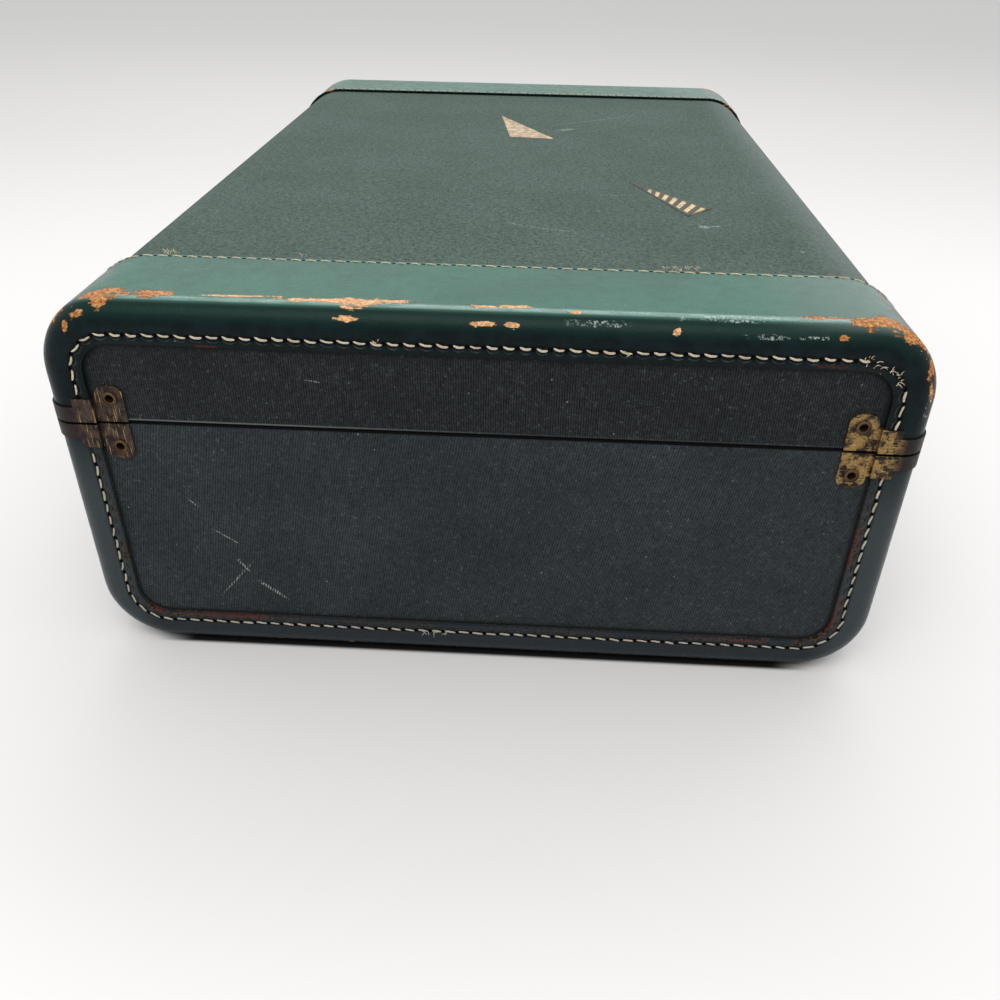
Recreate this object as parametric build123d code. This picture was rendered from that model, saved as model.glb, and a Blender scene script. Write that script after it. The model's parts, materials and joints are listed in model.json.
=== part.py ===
from build123d import *
import os
from math import asin, degrees, radians, sin

# Hard-shell suitcase of the wrap-around kind, lying flat with its lid on top.
# X runs across the case, hinges at +X and handle at -X, Y along it, Z up.
# The origin is on the resting plane, under the centre of everything built.

os.makedirs("parts", exist_ok=True)

# Closed case, outside the leather
CASE_WIDTH = 356.0
CASE_LENGTH = 520.0
CASE_HEIGHT = 172.0
LID_DEPTH = 53.0
LONG_EDGE_RADIUS = 32.0
END_EDGE_RADIUS = 10.0

# Layers of the wall, from the outside in
LEATHER = 1.8
CANVAS = 0.8
WRAP_BOARD = 4.0
END_BOARD = 6.0
LINING = 0.8

# Leather bindings and the canvas under them
BINDING_WIDTH = 56.0
BINDING_INSET = 18.8
BINDING_TOP_INSET = 17.4
END_CANVAS_TURN = 20.0

# Where lid and body meet
SEAT_GAP = 0.3
COVER_SETBACK = 0.9
LIP_THICKNESS = 3.6
LIP_RISE = 6.0
LIP_DROP = 6.5
LIP_CLEARANCE = 1.2

# Brass corner clips: along the wall from the corner, and away from the parting
CLIP_SHEET = 0.8
CLIP_STRAP_HEIGHT = 7.2
CLIP_STEP_START = 11.5
CLIP_STEP_HEIGHT = 11.1
CLIP_LEVEL_END = 19.8
CLIP_RIVET_ALONG = 26.8
CLIP_TAB_HALF = 5.8
CLIP_TAB_CORNER = 4.4
CLIP_PARTING_GAP = 0.55
CLIP_RIVET_HEAD = 3.1
CLIP_RIVET_CUP = 2.6
CLIP_RIVET_CUP_DEPTH = 0.5
CLIP_RIVET_HOLLOW = 1.8
CLIP_RIVET_STEM = 2.3

# Small rivets of the latches, hinges and handle brackets
RIVET_HEAD = 2.1
RIVET_STEM = 1.2
RIVET_HEAD_HEIGHT = 0.8
HEAD_ROUNDING = 0.6
CLINCH_RADIUS = 1.9
CLINCH_HEIGHT = 0.5
HOLE_CLEARANCE = 0.05
CLIP_CLINCH_RADIUS = 2.8

# Latches on the front wall, seen from the front: right, up and out from the canvas
LATCH_INSET = 110.0
PLATE_CORNER = 3.0
PLATE_RIVET_EDGE = 3.5
LATCH_PLATE = 0.8
LATCH_PLATE_LEFT = -17.0
LATCH_PLATE_RIGHT = 32.0
LATCH_PLATE_DROP = 33.0
LATCH_PLATE_HEIGHT = 24.0
HOUSING_LEFT = -7.0
HOUSING_RIGHT = 24.5
HOUSING_HEIGHT = 18.5
HOUSING_DEPTH = 7.0
HOUSING_WALL = 0.8
HOUSING_CORNER = 2.0
HOUSING_EDGE = 0.8
HASP_WIDTH = 15.0
HASP_LENGTH = 35.0
HASP_SHEET = 1.0
HASP_CLEARANCE = 0.3
HASP_CORNER = 2.0
HASP_BEAD_RADIUS = 1.2
HASP_BEAD_RAISE = 0.8
HASP_NECK_DROP = 1.2
TONGUE_THICKNESS = 2.0
TONGUE_HEIGHT = 6.2
TONGUE_REACH = 5.7
TONGUE_SIDE_GAP = 0.5
TONGUE_END_GAP = 0.9
EYE_SIZE = 3.2
BOLT_SIZE = 2.6
BOLT_TRAVEL = 5.0
BOLT_TIP_GAP = 1.4
BLOCK_LEFT = 6.0
BLOCK_RIGHT = 4.0
BLOCK_HALF_HEIGHT = 4.0
KNOB_RADIUS = 4.0
KNOB_HEIGHT = 2.5
KNOB_STEM_RADIUS = 1.5
KNOB_EDGE = 0.9
KNOB_REST = 18.0
SLIDE_CLEARANCE = 0.1
HASP_PLATE_WIDTH = 32.0
HASP_PLATE_HEIGHT = 15.0
HASP_PLATE_RAISE = 2.2
HASP_PIN_RAISE = 9.0
HASP_PIN_RADIUS = 1.2
HASP_KNUCKLE_RADIUS = 2.4
HASP_KNUCKLE_WIDTH = 8.0
HASP_LUG_WIDTH = 4.2

# Stop hinges on the back wall
HINGE_INSET = 110.0
HINGE_WIDTH = 40.0
HINGE_SHEET = 1.0
HINGE_BODY_LEAF = 22.5
HINGE_LID_LEAF = 14.3
HINGE_LID_LEAF_RAISE = 0.4
HINGE_RIVET_EDGE = 6.0
HINGE_BODY_RIVET_DROP = 14.6
HINGE_LID_RIVET_RAISE = 8.6
HINGE_PIN_OUT = 3.4
HINGE_PIN_RADIUS = 1.25
HINGE_KNUCKLE_RADIUS = 2.5
HINGE_OUTER_KNUCKLE = 8.0
HINGE_LEAF_RELIEF = 1.65
HINGE_STOP_RADIUS = 4.6
HINGE_STOP_THICKNESS = 1.6
HINGE_STOP_WIDTH = 14.0
HINGE_STOP_LANDING = 4.6
HINGE_LANDING_DROP = 0.6
HINGE_LUG_START = 0.5
HINGE_STOP_SWEEP = 85.0
LID_OPENING = 100.0

# Handle on the front wall
HANDLE_SPACING = 120.0
HANDLE_PIN_DROP = 23.0
HANDLE_PIN_OUT = 6.4
HANDLE_PIN_RADIUS = 2.0
PIN_HEAD_LENGTH = 0.8
PIN_HEAD_RIM = 0.8
HANDLE_EYE_RADIUS = 4.6
HANDLE_EYE_WIDTH = 14.0
HANDLE_DROP = 40.0
HANDLE_BOW = 6.0
HANDLE_CORE_WIDTH = 13.0
HANDLE_CORE_THICKNESS = 3.2
HANDLE_CORNER_RADIUS = 15.0
GRIP_LENGTH = 88.0
GRIP_HALF_HEIGHT = 11.0
GRIP_HALF_THICKNESS = 8.5
GRIP_END_SHARE = 0.7
GRIP_REST_GAP = 0.3
GRIP_BOW = 3.0
GRIP_RAISE = 1.0
GRIP_STEPS = (-1.0, -0.6, 0.0, 0.6, 1.0)
BRACKET_WIDTH = 26.0
BRACKET_HEIGHT = 24.0
BRACKET_SHEET = 1.2
BRACKET_CORNER = 4.0
BRACKET_RIVET_SIDE = 3.0
BRACKET_RIVET_TOP = 3.5
EAR_THICKNESS = 1.6
EAR_RADIUS = 4.2
EAR_BASE = 11.0
RUNNING_CLEARANCE = 0.05
AXIAL_CLEARANCE = 0.3

# Places that follow from the sizes above
PARTING_HEIGHT = CASE_HEIGHT - LID_DEPTH
HANDLE_PIN_HEIGHT = PARTING_HEIGHT - HANDLE_PIN_DROP
LATCH_PLACE = CASE_LENGTH / 2 - LATCH_INSET
HINGE_PLACE = CASE_LENGTH / 2 - HINGE_INSET
HALF_WIDTH = CASE_WIDTH / 2
HALF_LENGTH = CASE_LENGTH / 2
BOARD_FACE = LEATHER + CANVAS
WRAP_INNER = BOARD_FACE + WRAP_BOARD
END_INNER = BOARD_FACE + END_BOARD
REACH = CASE_WIDTH + CASE_LENGTH + CASE_HEIGHT
LID_SEAT = PARTING_HEIGHT + SEAT_GAP
BODY_COVER_TOP = PARTING_HEIGHT - COVER_SETBACK
LID_COVER_BOTTOM = LID_SEAT + COVER_SETBACK
SIDE_GRIP = CANVAS + WRAP_BOARD + LINING
END_GRIP = CANVAS + END_BOARD + LINING
HANDLE_TILT = degrees(asin((GRIP_HALF_THICKNESS + GRIP_REST_GAP - HANDLE_PIN_OUT) / HANDLE_DROP))
HANDLE_REACH = HANDLE_PIN_OUT + HANDLE_DROP * sin(radians(HANDLE_TILT)) + GRIP_HALF_THICKNESS
HINGE_REACH = HINGE_PIN_OUT + HINGE_STOP_RADIUS
CENTRE_SHIFT = (HANDLE_REACH - HINGE_REACH) / 2

# Wall planes whose right, up and out are the viewer's own when facing that wall
FRONT = Plane(origin=(LEATHER - HALF_WIDTH, 0, 0), x_dir=(0, -1, 0), z_dir=(-1, 0, 0))
BACK = Plane(origin=(HALF_WIDTH - LEATHER, 0, 0), x_dir=(0, 1, 0), z_dir=(1, 0, 0))
NEAR = Plane(origin=(0, LEATHER - HALF_LENGTH, 0), x_dir=(1, 0, 0), z_dir=(0, -1, 0))

pieces = {}


def span(x, y, z):
    """A plain block between two places on each axis."""
    centre = ((x[0] + x[1]) / 2, (y[0] + y[1]) / 2, (z[0] + z[1]) / 2)
    return Pos(*centre) * Box(x[1] - x[0], y[1] - y[0], z[1] - z[0])


def rod(radius, x, y, z):
    """A round rod along X, between two places, about the point y, z."""
    length = x[1] - x[0]
    return Pos((x[0] + x[1]) / 2, y, z) * Rot(0, 90, 0) * Cylinder(radius, length)


def below(height):
    return span((-REACH, REACH), (-REACH, REACH), (-REACH, height))


def above(height):
    return span((-REACH, REACH), (-REACH, REACH), (height, REACH))


def tunnel(inset, half_length):
    """The case's long rounded section, drawn in by inset, between two square ends."""
    width = CASE_WIDTH - 2 * inset
    height = CASE_HEIGHT - 2 * inset
    section = Plane.XZ * RectangleRounded(width, height, LONG_EDGE_RADIUS - inset)
    return Pos(0, 0, CASE_HEIGHT / 2) * extrude(section, half_length, both=True)


def case_block(inset):
    """The whole closed case as one rounded block, drawn in by inset all round."""
    block = tunnel(inset, HALF_LENGTH - inset)
    ends = block.faces().sort_by(Axis.Y)
    rims = ends[0].edges() + ends[-1].edges()
    return fillet(rims, END_EDGE_RADIUS - inset)


def end_zone(side, depth):
    """The space within depth of the near (-1) or far (+1) end."""
    inner = side * (HALF_LENGTH - depth)
    outer = side * REACH
    return span((-REACH, REACH), (min(inner, outer), max(inner, outer)), (-REACH, REACH))


def middle_zone(margin):
    """The space that stays margin away from both ends."""
    half = HALF_LENGTH - margin
    return span((-REACH, REACH), (-half, half), (-REACH, REACH))


def build_half(name, board_space, cover_space):
    """Boards, canvas, lining and leather bindings of the body or the lid."""
    carcass = case_block(BOARD_FACE) & board_space
    bore = tunnel(WRAP_INNER, REACH)
    pieces[f"{name}_wrap_board"] = carcass - bore
    canvas = (case_block(LEATHER) - case_block(BOARD_FACE)) & cover_space
    leather = (case_block(0) - case_block(LEATHER)) & cover_space
    window = tunnel(BINDING_INSET, REACH)
    window += Pos(0, 0, BINDING_INSET - BINDING_TOP_INSET) * window
    turn = END_EDGE_RADIUS + END_CANVAS_TURN
    for label, side in (("near", -1), ("far", 1)):
        board_zone = end_zone(side, END_INNER)
        pieces[f"{name}_{label}_end_board"] = carcass & bore & board_zone
        pieces[f"{name}_{label}_end_canvas"] = canvas & end_zone(side, turn)
        pieces[f"{name}_{label}_binding"] = leather & end_zone(side, BINDING_WIDTH) - window
    pieces[f"{name}_canvas_wrap"] = canvas & middle_zone(turn)
    outer_lining = tunnel(WRAP_INNER, HALF_LENGTH - END_INNER)
    inner_lining = tunnel(WRAP_INNER + LINING, HALF_LENGTH - END_INNER - LINING)
    pieces[f"{name}_lining"] = (outer_lining - inner_lining) & board_space


def build_locating_lip():
    """Four wooden rails inside the body's mouth that stand up into the lid."""
    half_x = HALF_WIDTH - WRAP_INNER - LINING
    half_y = HALF_LENGTH - END_INNER - LINING
    low = PARTING_HEIGHT - LIP_DROP
    high = PARTING_HEIGHT + LIP_RISE

    def ring_block(inset, z):
        x = half_x - inset
        y = half_y - inset
        return span((-x, x), (-y, y), z)

    seated = ring_block(0, (low, PARTING_HEIGHT))
    raised = ring_block(LIP_CLEARANCE, (PARTING_HEIGHT, high))
    ring = seated + raised - ring_block(LIP_THICKNESS, (low, high))
    rail_depth = END_INNER + LINING + LIP_THICKNESS
    pieces["body_lip_near"] = ring & end_zone(-1, rail_depth)
    pieces["body_lip_far"] = ring & end_zone(1, rail_depth)
    sides = ring & middle_zone(rail_depth)
    pieces["body_lip_front"] = sides & span((-REACH, 0), (-REACH, REACH), (-REACH, REACH))
    pieces["body_lip_back"] = sides & span((0, REACH), (-REACH, REACH), (-REACH, REACH))


def clip_outline(plane_right, sign):
    """Flat shape of the part of a clip past its step: a strip and a rounded rivet tab."""
    height = CLIP_STEP_HEIGHT
    strip = Pos(plane_right + sign * (CLIP_RIVET_ALONG + CLIP_TAB_HALF) / 2, height / 2)
    width = CLIP_TAB_HALF + CLIP_RIVET_ALONG
    shape = strip * Rectangle(width, height)
    tab = RectangleRounded(2 * CLIP_TAB_HALF, 2 * CLIP_TAB_HALF, CLIP_TAB_CORNER)
    return shape + Pos(plane_right + sign * CLIP_RIVET_ALONG, height) * tab


def build_corner_clip():
    """The lid's clip at the near right corner, bent round it over the leather."""
    skin = case_block(-CLIP_SHEET) - case_block(0)
    low = PARTING_HEIGHT + CLIP_PARTING_GAP
    strap_z = (low, PARTING_HEIGHT + CLIP_STRAP_HEIGHT)
    step_z = (low, PARTING_HEIGHT + CLIP_STEP_HEIGHT)
    out_x = HALF_WIDTH + CLIP_SHEET
    out_y = -HALF_LENGTH - CLIP_SHEET
    level_x = HALF_WIDTH - CLIP_LEVEL_END
    level_y = CLIP_LEVEL_END - HALF_LENGTH
    step_x = HALF_WIDTH - CLIP_STEP_START
    step_y = CLIP_STEP_START - HALF_LENGTH
    strap = skin & span((level_x, out_x), (out_y, level_y), strap_z)
    end_step = skin & span((level_x, step_x), (out_y, -HALF_LENGTH), step_z)
    side_step = skin & span((HALF_WIDTH, out_x), (step_y, level_y), step_z)

    web_x = (level_x, level_x + CLIP_SHEET)
    web = span(web_x, (out_y, LEATHER - HALF_LENGTH), step_z)
    keep = above(low)
    end_shape = Pos(0, PARTING_HEIGHT) * clip_outline(HALF_WIDTH, -1)
    end_tab = extrude(NEAR * end_shape, CLIP_SHEET) & keep
    end_tab -= span((level_x + CLIP_SHEET, REACH), (-REACH, REACH), (-REACH, REACH))
    side_shape = Pos(0, PARTING_HEIGHT) * clip_outline(-HALF_LENGTH, 1)
    side_tab = extrude(BACK * side_shape, CLIP_SHEET) & keep
    side_tab = Pos(LEATHER, 0, 0) * side_tab
    side_tab -= span((-REACH, REACH), (-REACH, level_y), (-REACH, REACH))
    return strap + end_step + side_step + web + end_tab + side_tab


def rivet(head, head_height, stem, grip, clinch):
    """A rivet along Z, its head above the seat at zero and its clinched end below."""
    rise = (Align.CENTER, Align.CENTER, Align.MIN)
    drop = (Align.CENTER, Align.CENTER, Align.MAX)
    cap = Cylinder(head, head_height, align=rise)
    cap = fillet(cap.edges().sort_by(Axis.Z)[-1], head_height * HEAD_ROUNDING)
    shank = Cylinder(stem, grip, align=drop)
    foot = Pos(0, 0, -grip) * Cylinder(clinch, CLINCH_HEIGHT, align=drop)
    return cap + shank + foot


def shank_hole(stem, grip):
    """The hole a rivet's shank needs, a little past both faces of what it holds."""
    return Cylinder(stem + HOLE_CLEARANCE, 2 * (grip + CLINCH_HEIGHT))


def build_clip_rivets(level):
    """Tubular rivets with cupped heads at the near right corner, and the holes they need."""
    up = PARTING_HEIGHT + level * CLIP_STEP_HEIGHT
    end_seat = NEAR * Pos(HALF_WIDTH - CLIP_RIVET_ALONG, up, CLIP_SHEET)
    side_seat = BACK * Pos(CLIP_RIVET_ALONG - HALF_LENGTH, up, LEATHER + CLIP_SHEET)
    solids = []
    holes = []
    end_grip = CLIP_SHEET + END_GRIP
    side_grip = CLIP_SHEET + LEATHER + SIDE_GRIP
    for seat, grip in ((end_seat, end_grip), (side_seat, side_grip)):
        body = rivet(CLIP_RIVET_HEAD, RIVET_HEAD_HEIGHT, CLIP_RIVET_STEM, grip, CLIP_CLINCH_RADIUS)
        body -= Cylinder(CLIP_RIVET_HOLLOW, grip)
        body -= Pos(0, 0, RIVET_HEAD_HEIGHT) * Cylinder(CLIP_RIVET_CUP, 2 * CLIP_RIVET_CUP_DEPTH)
        solids.append(seat * body)
        holes.append(seat * shank_hole(CLIP_RIVET_STEM, grip))
    return solids, holes


def corner_copies(shape):
    """The shape of the near right corner, mirrored to each corner in turn."""
    right = {"near_right": shape, "far_right": mirror(shape, about=Plane.XZ)}
    copies = dict(right)
    for label, solid in right.items():
        copies[label.replace("right", "left")] = mirror(solid, about=Plane.YZ)
    return copies


def build_clips():
    """Clips and their rivets at the four corners, above and below the parting."""
    parting = Plane(origin=(0, 0, PARTING_HEIGHT), z_dir=(0, 0, 1))
    lid_clip = build_corner_clip()
    holes = {}
    for half, level in (("lid", 1), ("body", -1)):
        clip = lid_clip if level == 1 else mirror(lid_clip, about=parting)
        solids, cuts = build_clip_rivets(level)
        for cut in cuts:
            clip -= cut
        for corner, copy in corner_copies(clip).items():
            pieces[f"{half}_clip_{corner}"] = copy
        spread = [corner_copies(solid).values() for solid in solids]
        pieces[f"{half}_clip_rivets"] = Compound([s for group in spread for s in group])
        holes[half] = [h for cut in cuts for h in corner_copies(cut).values()]
    return holes


def small_rivets(plane, places, sheet):
    """Rivets with their seats on a sheet of the given thickness, and their holes."""
    grip = sheet + SIDE_GRIP
    solids = []
    holes = []
    for right, up in places:
        seat = plane * Pos(right, up, sheet)
        solids.append(seat * rivet(RIVET_HEAD, RIVET_HEAD_HEIGHT, RIVET_STEM, grip, CLINCH_RADIUS))
        holes.append(seat * shank_hole(RIVET_STEM, grip))
    return solids, holes


def cut_all(solid, cutters):
    for cutter in cutters:
        solid -= cutter
    return solid


def latch_case(bottom):
    """Riveted plate with a hollow housing, open above and in front for the tongue."""
    plate = span(
        (LATCH_PLATE_LEFT, LATCH_PLATE_RIGHT),
        (bottom, bottom + LATCH_PLATE_HEIGHT),
        (0, LATCH_PLATE),
    )
    plate = fillet(plate.edges().filter_by(Axis.Z), PLATE_CORNER)
    low = bottom + (LATCH_PLATE_HEIGHT - HOUSING_HEIGHT) / 2
    high = low + HOUSING_HEIGHT
    housing = span((HOUSING_LEFT, HOUSING_RIGHT), (low, high), (0, HOUSING_DEPTH))
    housing = fillet(housing.edges().filter_by(Axis.Z), HOUSING_CORNER)
    housing = fillet(housing.faces().sort_by(Axis.Z)[-1].edges(), HOUSING_EDGE)
    cavity = span(
        (HOUSING_LEFT + HOUSING_WALL, HOUSING_RIGHT - HOUSING_WALL),
        (low + HOUSING_WALL, high - HOUSING_WALL),
        (LATCH_PLATE, HOUSING_DEPTH - HOUSING_WALL),
    )
    middle = (low + high) / 2
    channel_half = TONGUE_THICKNESS / 2 + TONGUE_SIDE_GAP
    channel_low = middle - TONGUE_HEIGHT / 2 - TONGUE_END_GAP
    front = HOUSING_DEPTH + LATCH_PLATE
    channel_x = (-channel_half, channel_half)
    channel = span(channel_x, (channel_low, high + LATCH_PLATE), (LATCH_PLATE, front))
    slot_half = KNOB_STEM_RADIUS + SLIDE_CLEARANCE
    slot = span(
        (KNOB_REST - BOLT_TRAVEL - slot_half, KNOB_REST + slot_half),
        (middle - slot_half, middle + slot_half),
        (LATCH_PLATE, front),
    )
    return plate + housing - cavity - channel - slot


def latch_slide(middle):
    """Sliding bolt and its thumb knob, drawn back clear of the hasp's tongue."""
    half = BOLT_SIZE / 2
    block_front = HOUSING_DEPTH - HOUSING_WALL - AXIAL_CLEARANCE
    bolt_middle = (LATCH_PLATE + HOUSING_DEPTH - HOUSING_WALL) / 2
    tip = TONGUE_THICKNESS / 2 + BOLT_TIP_GAP
    bolt_z = (bolt_middle - half, bolt_middle + half)
    bolt = span((tip, KNOB_REST), (middle - half, middle + half), bolt_z)
    block_x = (KNOB_REST - BLOCK_LEFT, KNOB_REST + BLOCK_RIGHT)
    block_y = (middle - BLOCK_HALF_HEIGHT, middle + BLOCK_HALF_HEIGHT)
    block = span(block_x, block_y, (LATCH_PLATE + AXIAL_CLEARANCE, block_front))
    stem_length = HOUSING_DEPTH + AXIAL_CLEARANCE - bolt_middle
    rise = (Align.CENTER, Align.CENTER, Align.MIN)
    stem = Pos(KNOB_REST, middle, bolt_middle) * Cylinder(KNOB_STEM_RADIUS, stem_length, align=rise)
    knob = Cylinder(KNOB_RADIUS, KNOB_HEIGHT, align=rise)
    knob = fillet(knob.edges().sort_by(Axis.Z)[-1], KNOB_EDGE)
    knob = Pos(KNOB_REST, middle, HOUSING_DEPTH + AXIAL_CLEARANCE) * knob
    return bolt + block + stem + knob


def hasp_axis():
    """Height and outward place of the pin that the hasp swings on."""
    strap_face = HOUSING_DEPTH + HASP_CLEARANCE + HASP_SHEET
    return PARTING_HEIGHT + HASP_PIN_RAISE, strap_face - HASP_KNUCKLE_RADIUS


def latch_hasp(middle):
    """Swinging hasp: a knuckle, a strap with a finger bead, and a tongue with an eye."""
    up, out = hasp_axis()
    half = HASP_WIDTH / 2
    back = HOUSING_DEPTH + HASP_CLEARANCE
    face = back + HASP_SHEET
    neck_low = up - HASP_KNUCKLE_RADIUS - HASP_NECK_DROP
    knuckle_half = HASP_KNUCKLE_WIDTH / 2
    strap = span((-half, half), (up - HASP_LENGTH, neck_low), (back, face))
    strap = fillet(strap.edges().filter_by(Axis.Z), HASP_CORNER)
    neck = span((-knuckle_half, knuckle_half), (neck_low - HASP_CORNER, up), (back, face))
    knuckle = rod(HASP_KNUCKLE_RADIUS, (-knuckle_half, knuckle_half), up, out)
    bead_half = half - HASP_CORNER
    bead_up = up - HASP_LENGTH + HASP_BEAD_RAISE
    bead = rod(HASP_BEAD_RADIUS, (-bead_half, bead_half), bead_up, face)
    tongue_half = TONGUE_THICKNESS / 2
    tongue_x = (-tongue_half, tongue_half)
    tongue_y = (middle - TONGUE_HEIGHT / 2, middle + TONGUE_HEIGHT / 2)
    tongue = span(tongue_x, tongue_y, (back - TONGUE_REACH, face))
    bolt_middle = (LATCH_PLATE + HOUSING_DEPTH - HOUSING_WALL) / 2
    eye_half = EYE_SIZE / 2
    eye = span(
        (-half, half),
        (middle - eye_half, middle + eye_half),
        (bolt_middle - eye_half, bolt_middle + eye_half),
    )
    bore = rod(HASP_PIN_RADIUS + RUNNING_CLEARANCE, (-half, half), up, out)
    return strap + neck + knuckle + bead + (tongue - eye) - bore


def hasp_plate():
    """Plate on the lid with two lugs that hold the hasp's pin."""
    up, out = hasp_axis()
    half = HASP_PLATE_WIDTH / 2
    low = PARTING_HEIGHT + HASP_PLATE_RAISE
    plate = span((-half, half), (low, low + HASP_PLATE_HEIGHT), (0, LATCH_PLATE))
    plate = fillet(plate.edges().filter_by(Axis.Z), PLATE_CORNER)
    start = HASP_KNUCKLE_WIDTH / 2 + AXIAL_CLEARANCE
    radius = HASP_KNUCKLE_RADIUS
    for side in (-1, 1):
        ends = sorted((side * start, side * (start + HASP_LUG_WIDTH)))
        web = span(ends, (up - radius, up + radius), (0, out))
        plate += web + rod(radius, ends, up, out)
    return plate - rod(HASP_PIN_RADIUS, (-half, half), up, out)


def hasp_pin():
    up, out = hasp_axis()
    half = HASP_KNUCKLE_WIDTH / 2 + AXIAL_CLEARANCE + HASP_LUG_WIDTH
    return rod(HASP_PIN_RADIUS, (-half, half), up, out)


def build_latches():
    """Two latches, one each side of the handle, and the holes their rivets need."""
    bottom = PARTING_HEIGHT - LATCH_PLATE_DROP
    middle = bottom + LATCH_PLATE_HEIGHT / 2
    rivet_x = (LATCH_PLATE_LEFT + PLATE_RIVET_EDGE, LATCH_PLATE_RIGHT - PLATE_RIVET_EDGE)
    rivet_y = (bottom + PLATE_RIVET_EDGE, bottom + LATCH_PLATE_HEIGHT - PLATE_RIVET_EDGE)
    case_places = [(x, y) for x in rivet_x for y in rivet_y]
    plate_up = PARTING_HEIGHT + HASP_PLATE_RAISE + HASP_PLATE_HEIGHT / 2
    plate_right = HASP_PLATE_WIDTH / 2 - PLATE_RIVET_EDGE
    plate_places = [(-plate_right, plate_up), (plate_right, plate_up)]
    holes = {"body": [], "lid": []}
    solids = {"body": [], "lid": []}
    for label, right in (("near", LATCH_PLACE), ("far", -LATCH_PLACE)):
        place = Plane(FRONT.location * Pos(right, 0, 0))
        case_rivets, case_holes = small_rivets(place, case_places, LATCH_PLATE)
        plate_rivets, plate_holes = small_rivets(place, plate_places, LATCH_PLATE)
        pieces[f"latch_case_{label}"] = cut_all(place.location * latch_case(bottom), case_holes)
        pieces[f"latch_slide_{label}"] = place.location * latch_slide(middle)
        pieces[f"latch_hasp_{label}"] = place.location * latch_hasp(middle)
        pieces[f"hasp_plate_{label}"] = cut_all(place.location * hasp_plate(), plate_holes)
        pieces[f"hasp_pin_{label}"] = place.location * hasp_pin()
        solids["body"] += case_rivets
        solids["lid"] += plate_rivets
        holes["body"] += case_holes
        holes["lid"] += plate_holes
    pieces["latch_case_rivets"] = Compound(solids["body"])
    pieces["hasp_plate_rivets"] = Compound(solids["lid"])
    return holes


def hinge_axis_height():
    return PARTING_HEIGHT + SEAT_GAP / 2


def hinge_body_leaf():
    """Leaf on the body with two outer knuckles and the landing for the lid's stop."""
    up = hinge_axis_height()
    half = HINGE_WIDTH / 2
    top = up - HINGE_LEAF_RELIEF
    leaf = span((-half, half), (top - HINGE_BODY_LEAF, top), (0, HINGE_SHEET))
    for side in (-1, 1):
        ends = sorted((side * half, side * (half - HINGE_OUTER_KNUCKLE)))
        web = span(ends, (top - HINGE_SHEET, up), (0, HINGE_PIN_OUT))
        leaf += web + rod(HINGE_KNUCKLE_RADIUS, ends, up, HINGE_PIN_OUT)
    stop_half = HINGE_STOP_WIDTH / 2
    landing_top = up - HINGE_KNUCKLE_RADIUS - HINGE_LANDING_DROP
    landing_out = HINGE_PIN_OUT - HINGE_STOP_THICKNESS / 2
    landing_y = (landing_top - HINGE_STOP_LANDING, landing_top)
    landing = span((-stop_half, stop_half), landing_y, (0, landing_out))
    return leaf + landing - rod(HINGE_PIN_RADIUS, (-half, half), up, HINGE_PIN_OUT)


def hinge_lid_leaf():
    """Leaf on the lid with the middle knuckle and a lug that stops the opening."""
    up = hinge_axis_height()
    half = HINGE_WIDTH / 2
    low = up + HINGE_LEAF_RELIEF + HINGE_LID_LEAF_RAISE
    inner = half - HINGE_OUTER_KNUCKLE - AXIAL_CLEARANCE
    leaf = span((-half, half), (low, low + HINGE_LID_LEAF), (0, HINGE_SHEET))
    web = span((-inner, inner), (up, low + HINGE_SHEET), (0, HINGE_PIN_OUT))
    knuckle = rod(HINGE_KNUCKLE_RADIUS, (-inner, inner), up, HINGE_PIN_OUT)
    stop_half = HINGE_STOP_WIDTH / 2
    lug = span(
        (-stop_half, stop_half),
        (-HINGE_STOP_THICKNESS / 2, HINGE_STOP_THICKNESS / 2),
        (HINGE_PIN_RADIUS + HINGE_LUG_START, HINGE_STOP_RADIUS),
    )
    stop_rest = LID_OPENING - HINGE_STOP_SWEEP
    lug = Pos(0, up, HINGE_PIN_OUT) * Rot(-stop_rest, 0, 0) * lug
    bore = rod(HINGE_PIN_RADIUS + RUNNING_CLEARANCE, (-half, half), up, HINGE_PIN_OUT)
    return leaf + web + knuckle + lug - bore


def build_hinges():
    """Two stop hinges on the back wall, and the holes their rivets need."""
    up = hinge_axis_height()
    half = HINGE_WIDTH / 2
    rivet_x = (HINGE_RIVET_EDGE - half, 0, half - HINGE_RIVET_EDGE)
    body_up = up - HINGE_LEAF_RELIEF - HINGE_BODY_RIVET_DROP
    lid_up = up + HINGE_LEAF_RELIEF + HINGE_LID_RIVET_RAISE
    holes = {"body": [], "lid": []}
    solids = {"body": [], "lid": []}
    for label, right in (("near", -HINGE_PLACE), ("far", HINGE_PLACE)):
        place = Plane(BACK.location * Pos(right, 0, 0))
        body_rivets, body_holes = small_rivets(place, [(x, body_up) for x in rivet_x], HINGE_SHEET)
        lid_rivets, lid_holes = small_rivets(place, [(x, lid_up) for x in rivet_x], HINGE_SHEET)
        pieces[f"hinge_body_leaf_{label}"] = cut_all(place.location * hinge_body_leaf(), body_holes)
        pieces[f"hinge_lid_leaf_{label}"] = cut_all(place.location * hinge_lid_leaf(), lid_holes)
        pin = rod(HINGE_PIN_RADIUS, (-half, half), up, HINGE_PIN_OUT)
        pieces[f"hinge_pin_{label}"] = place.location * pin
        solids["body"] += body_rivets
        solids["lid"] += lid_rivets
        holes["body"] += body_holes
        holes["lid"] += lid_holes
    pieces["hinge_body_rivets"] = Compound(solids["body"])
    pieces["hinge_lid_rivets"] = Compound(solids["lid"])
    return holes


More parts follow.
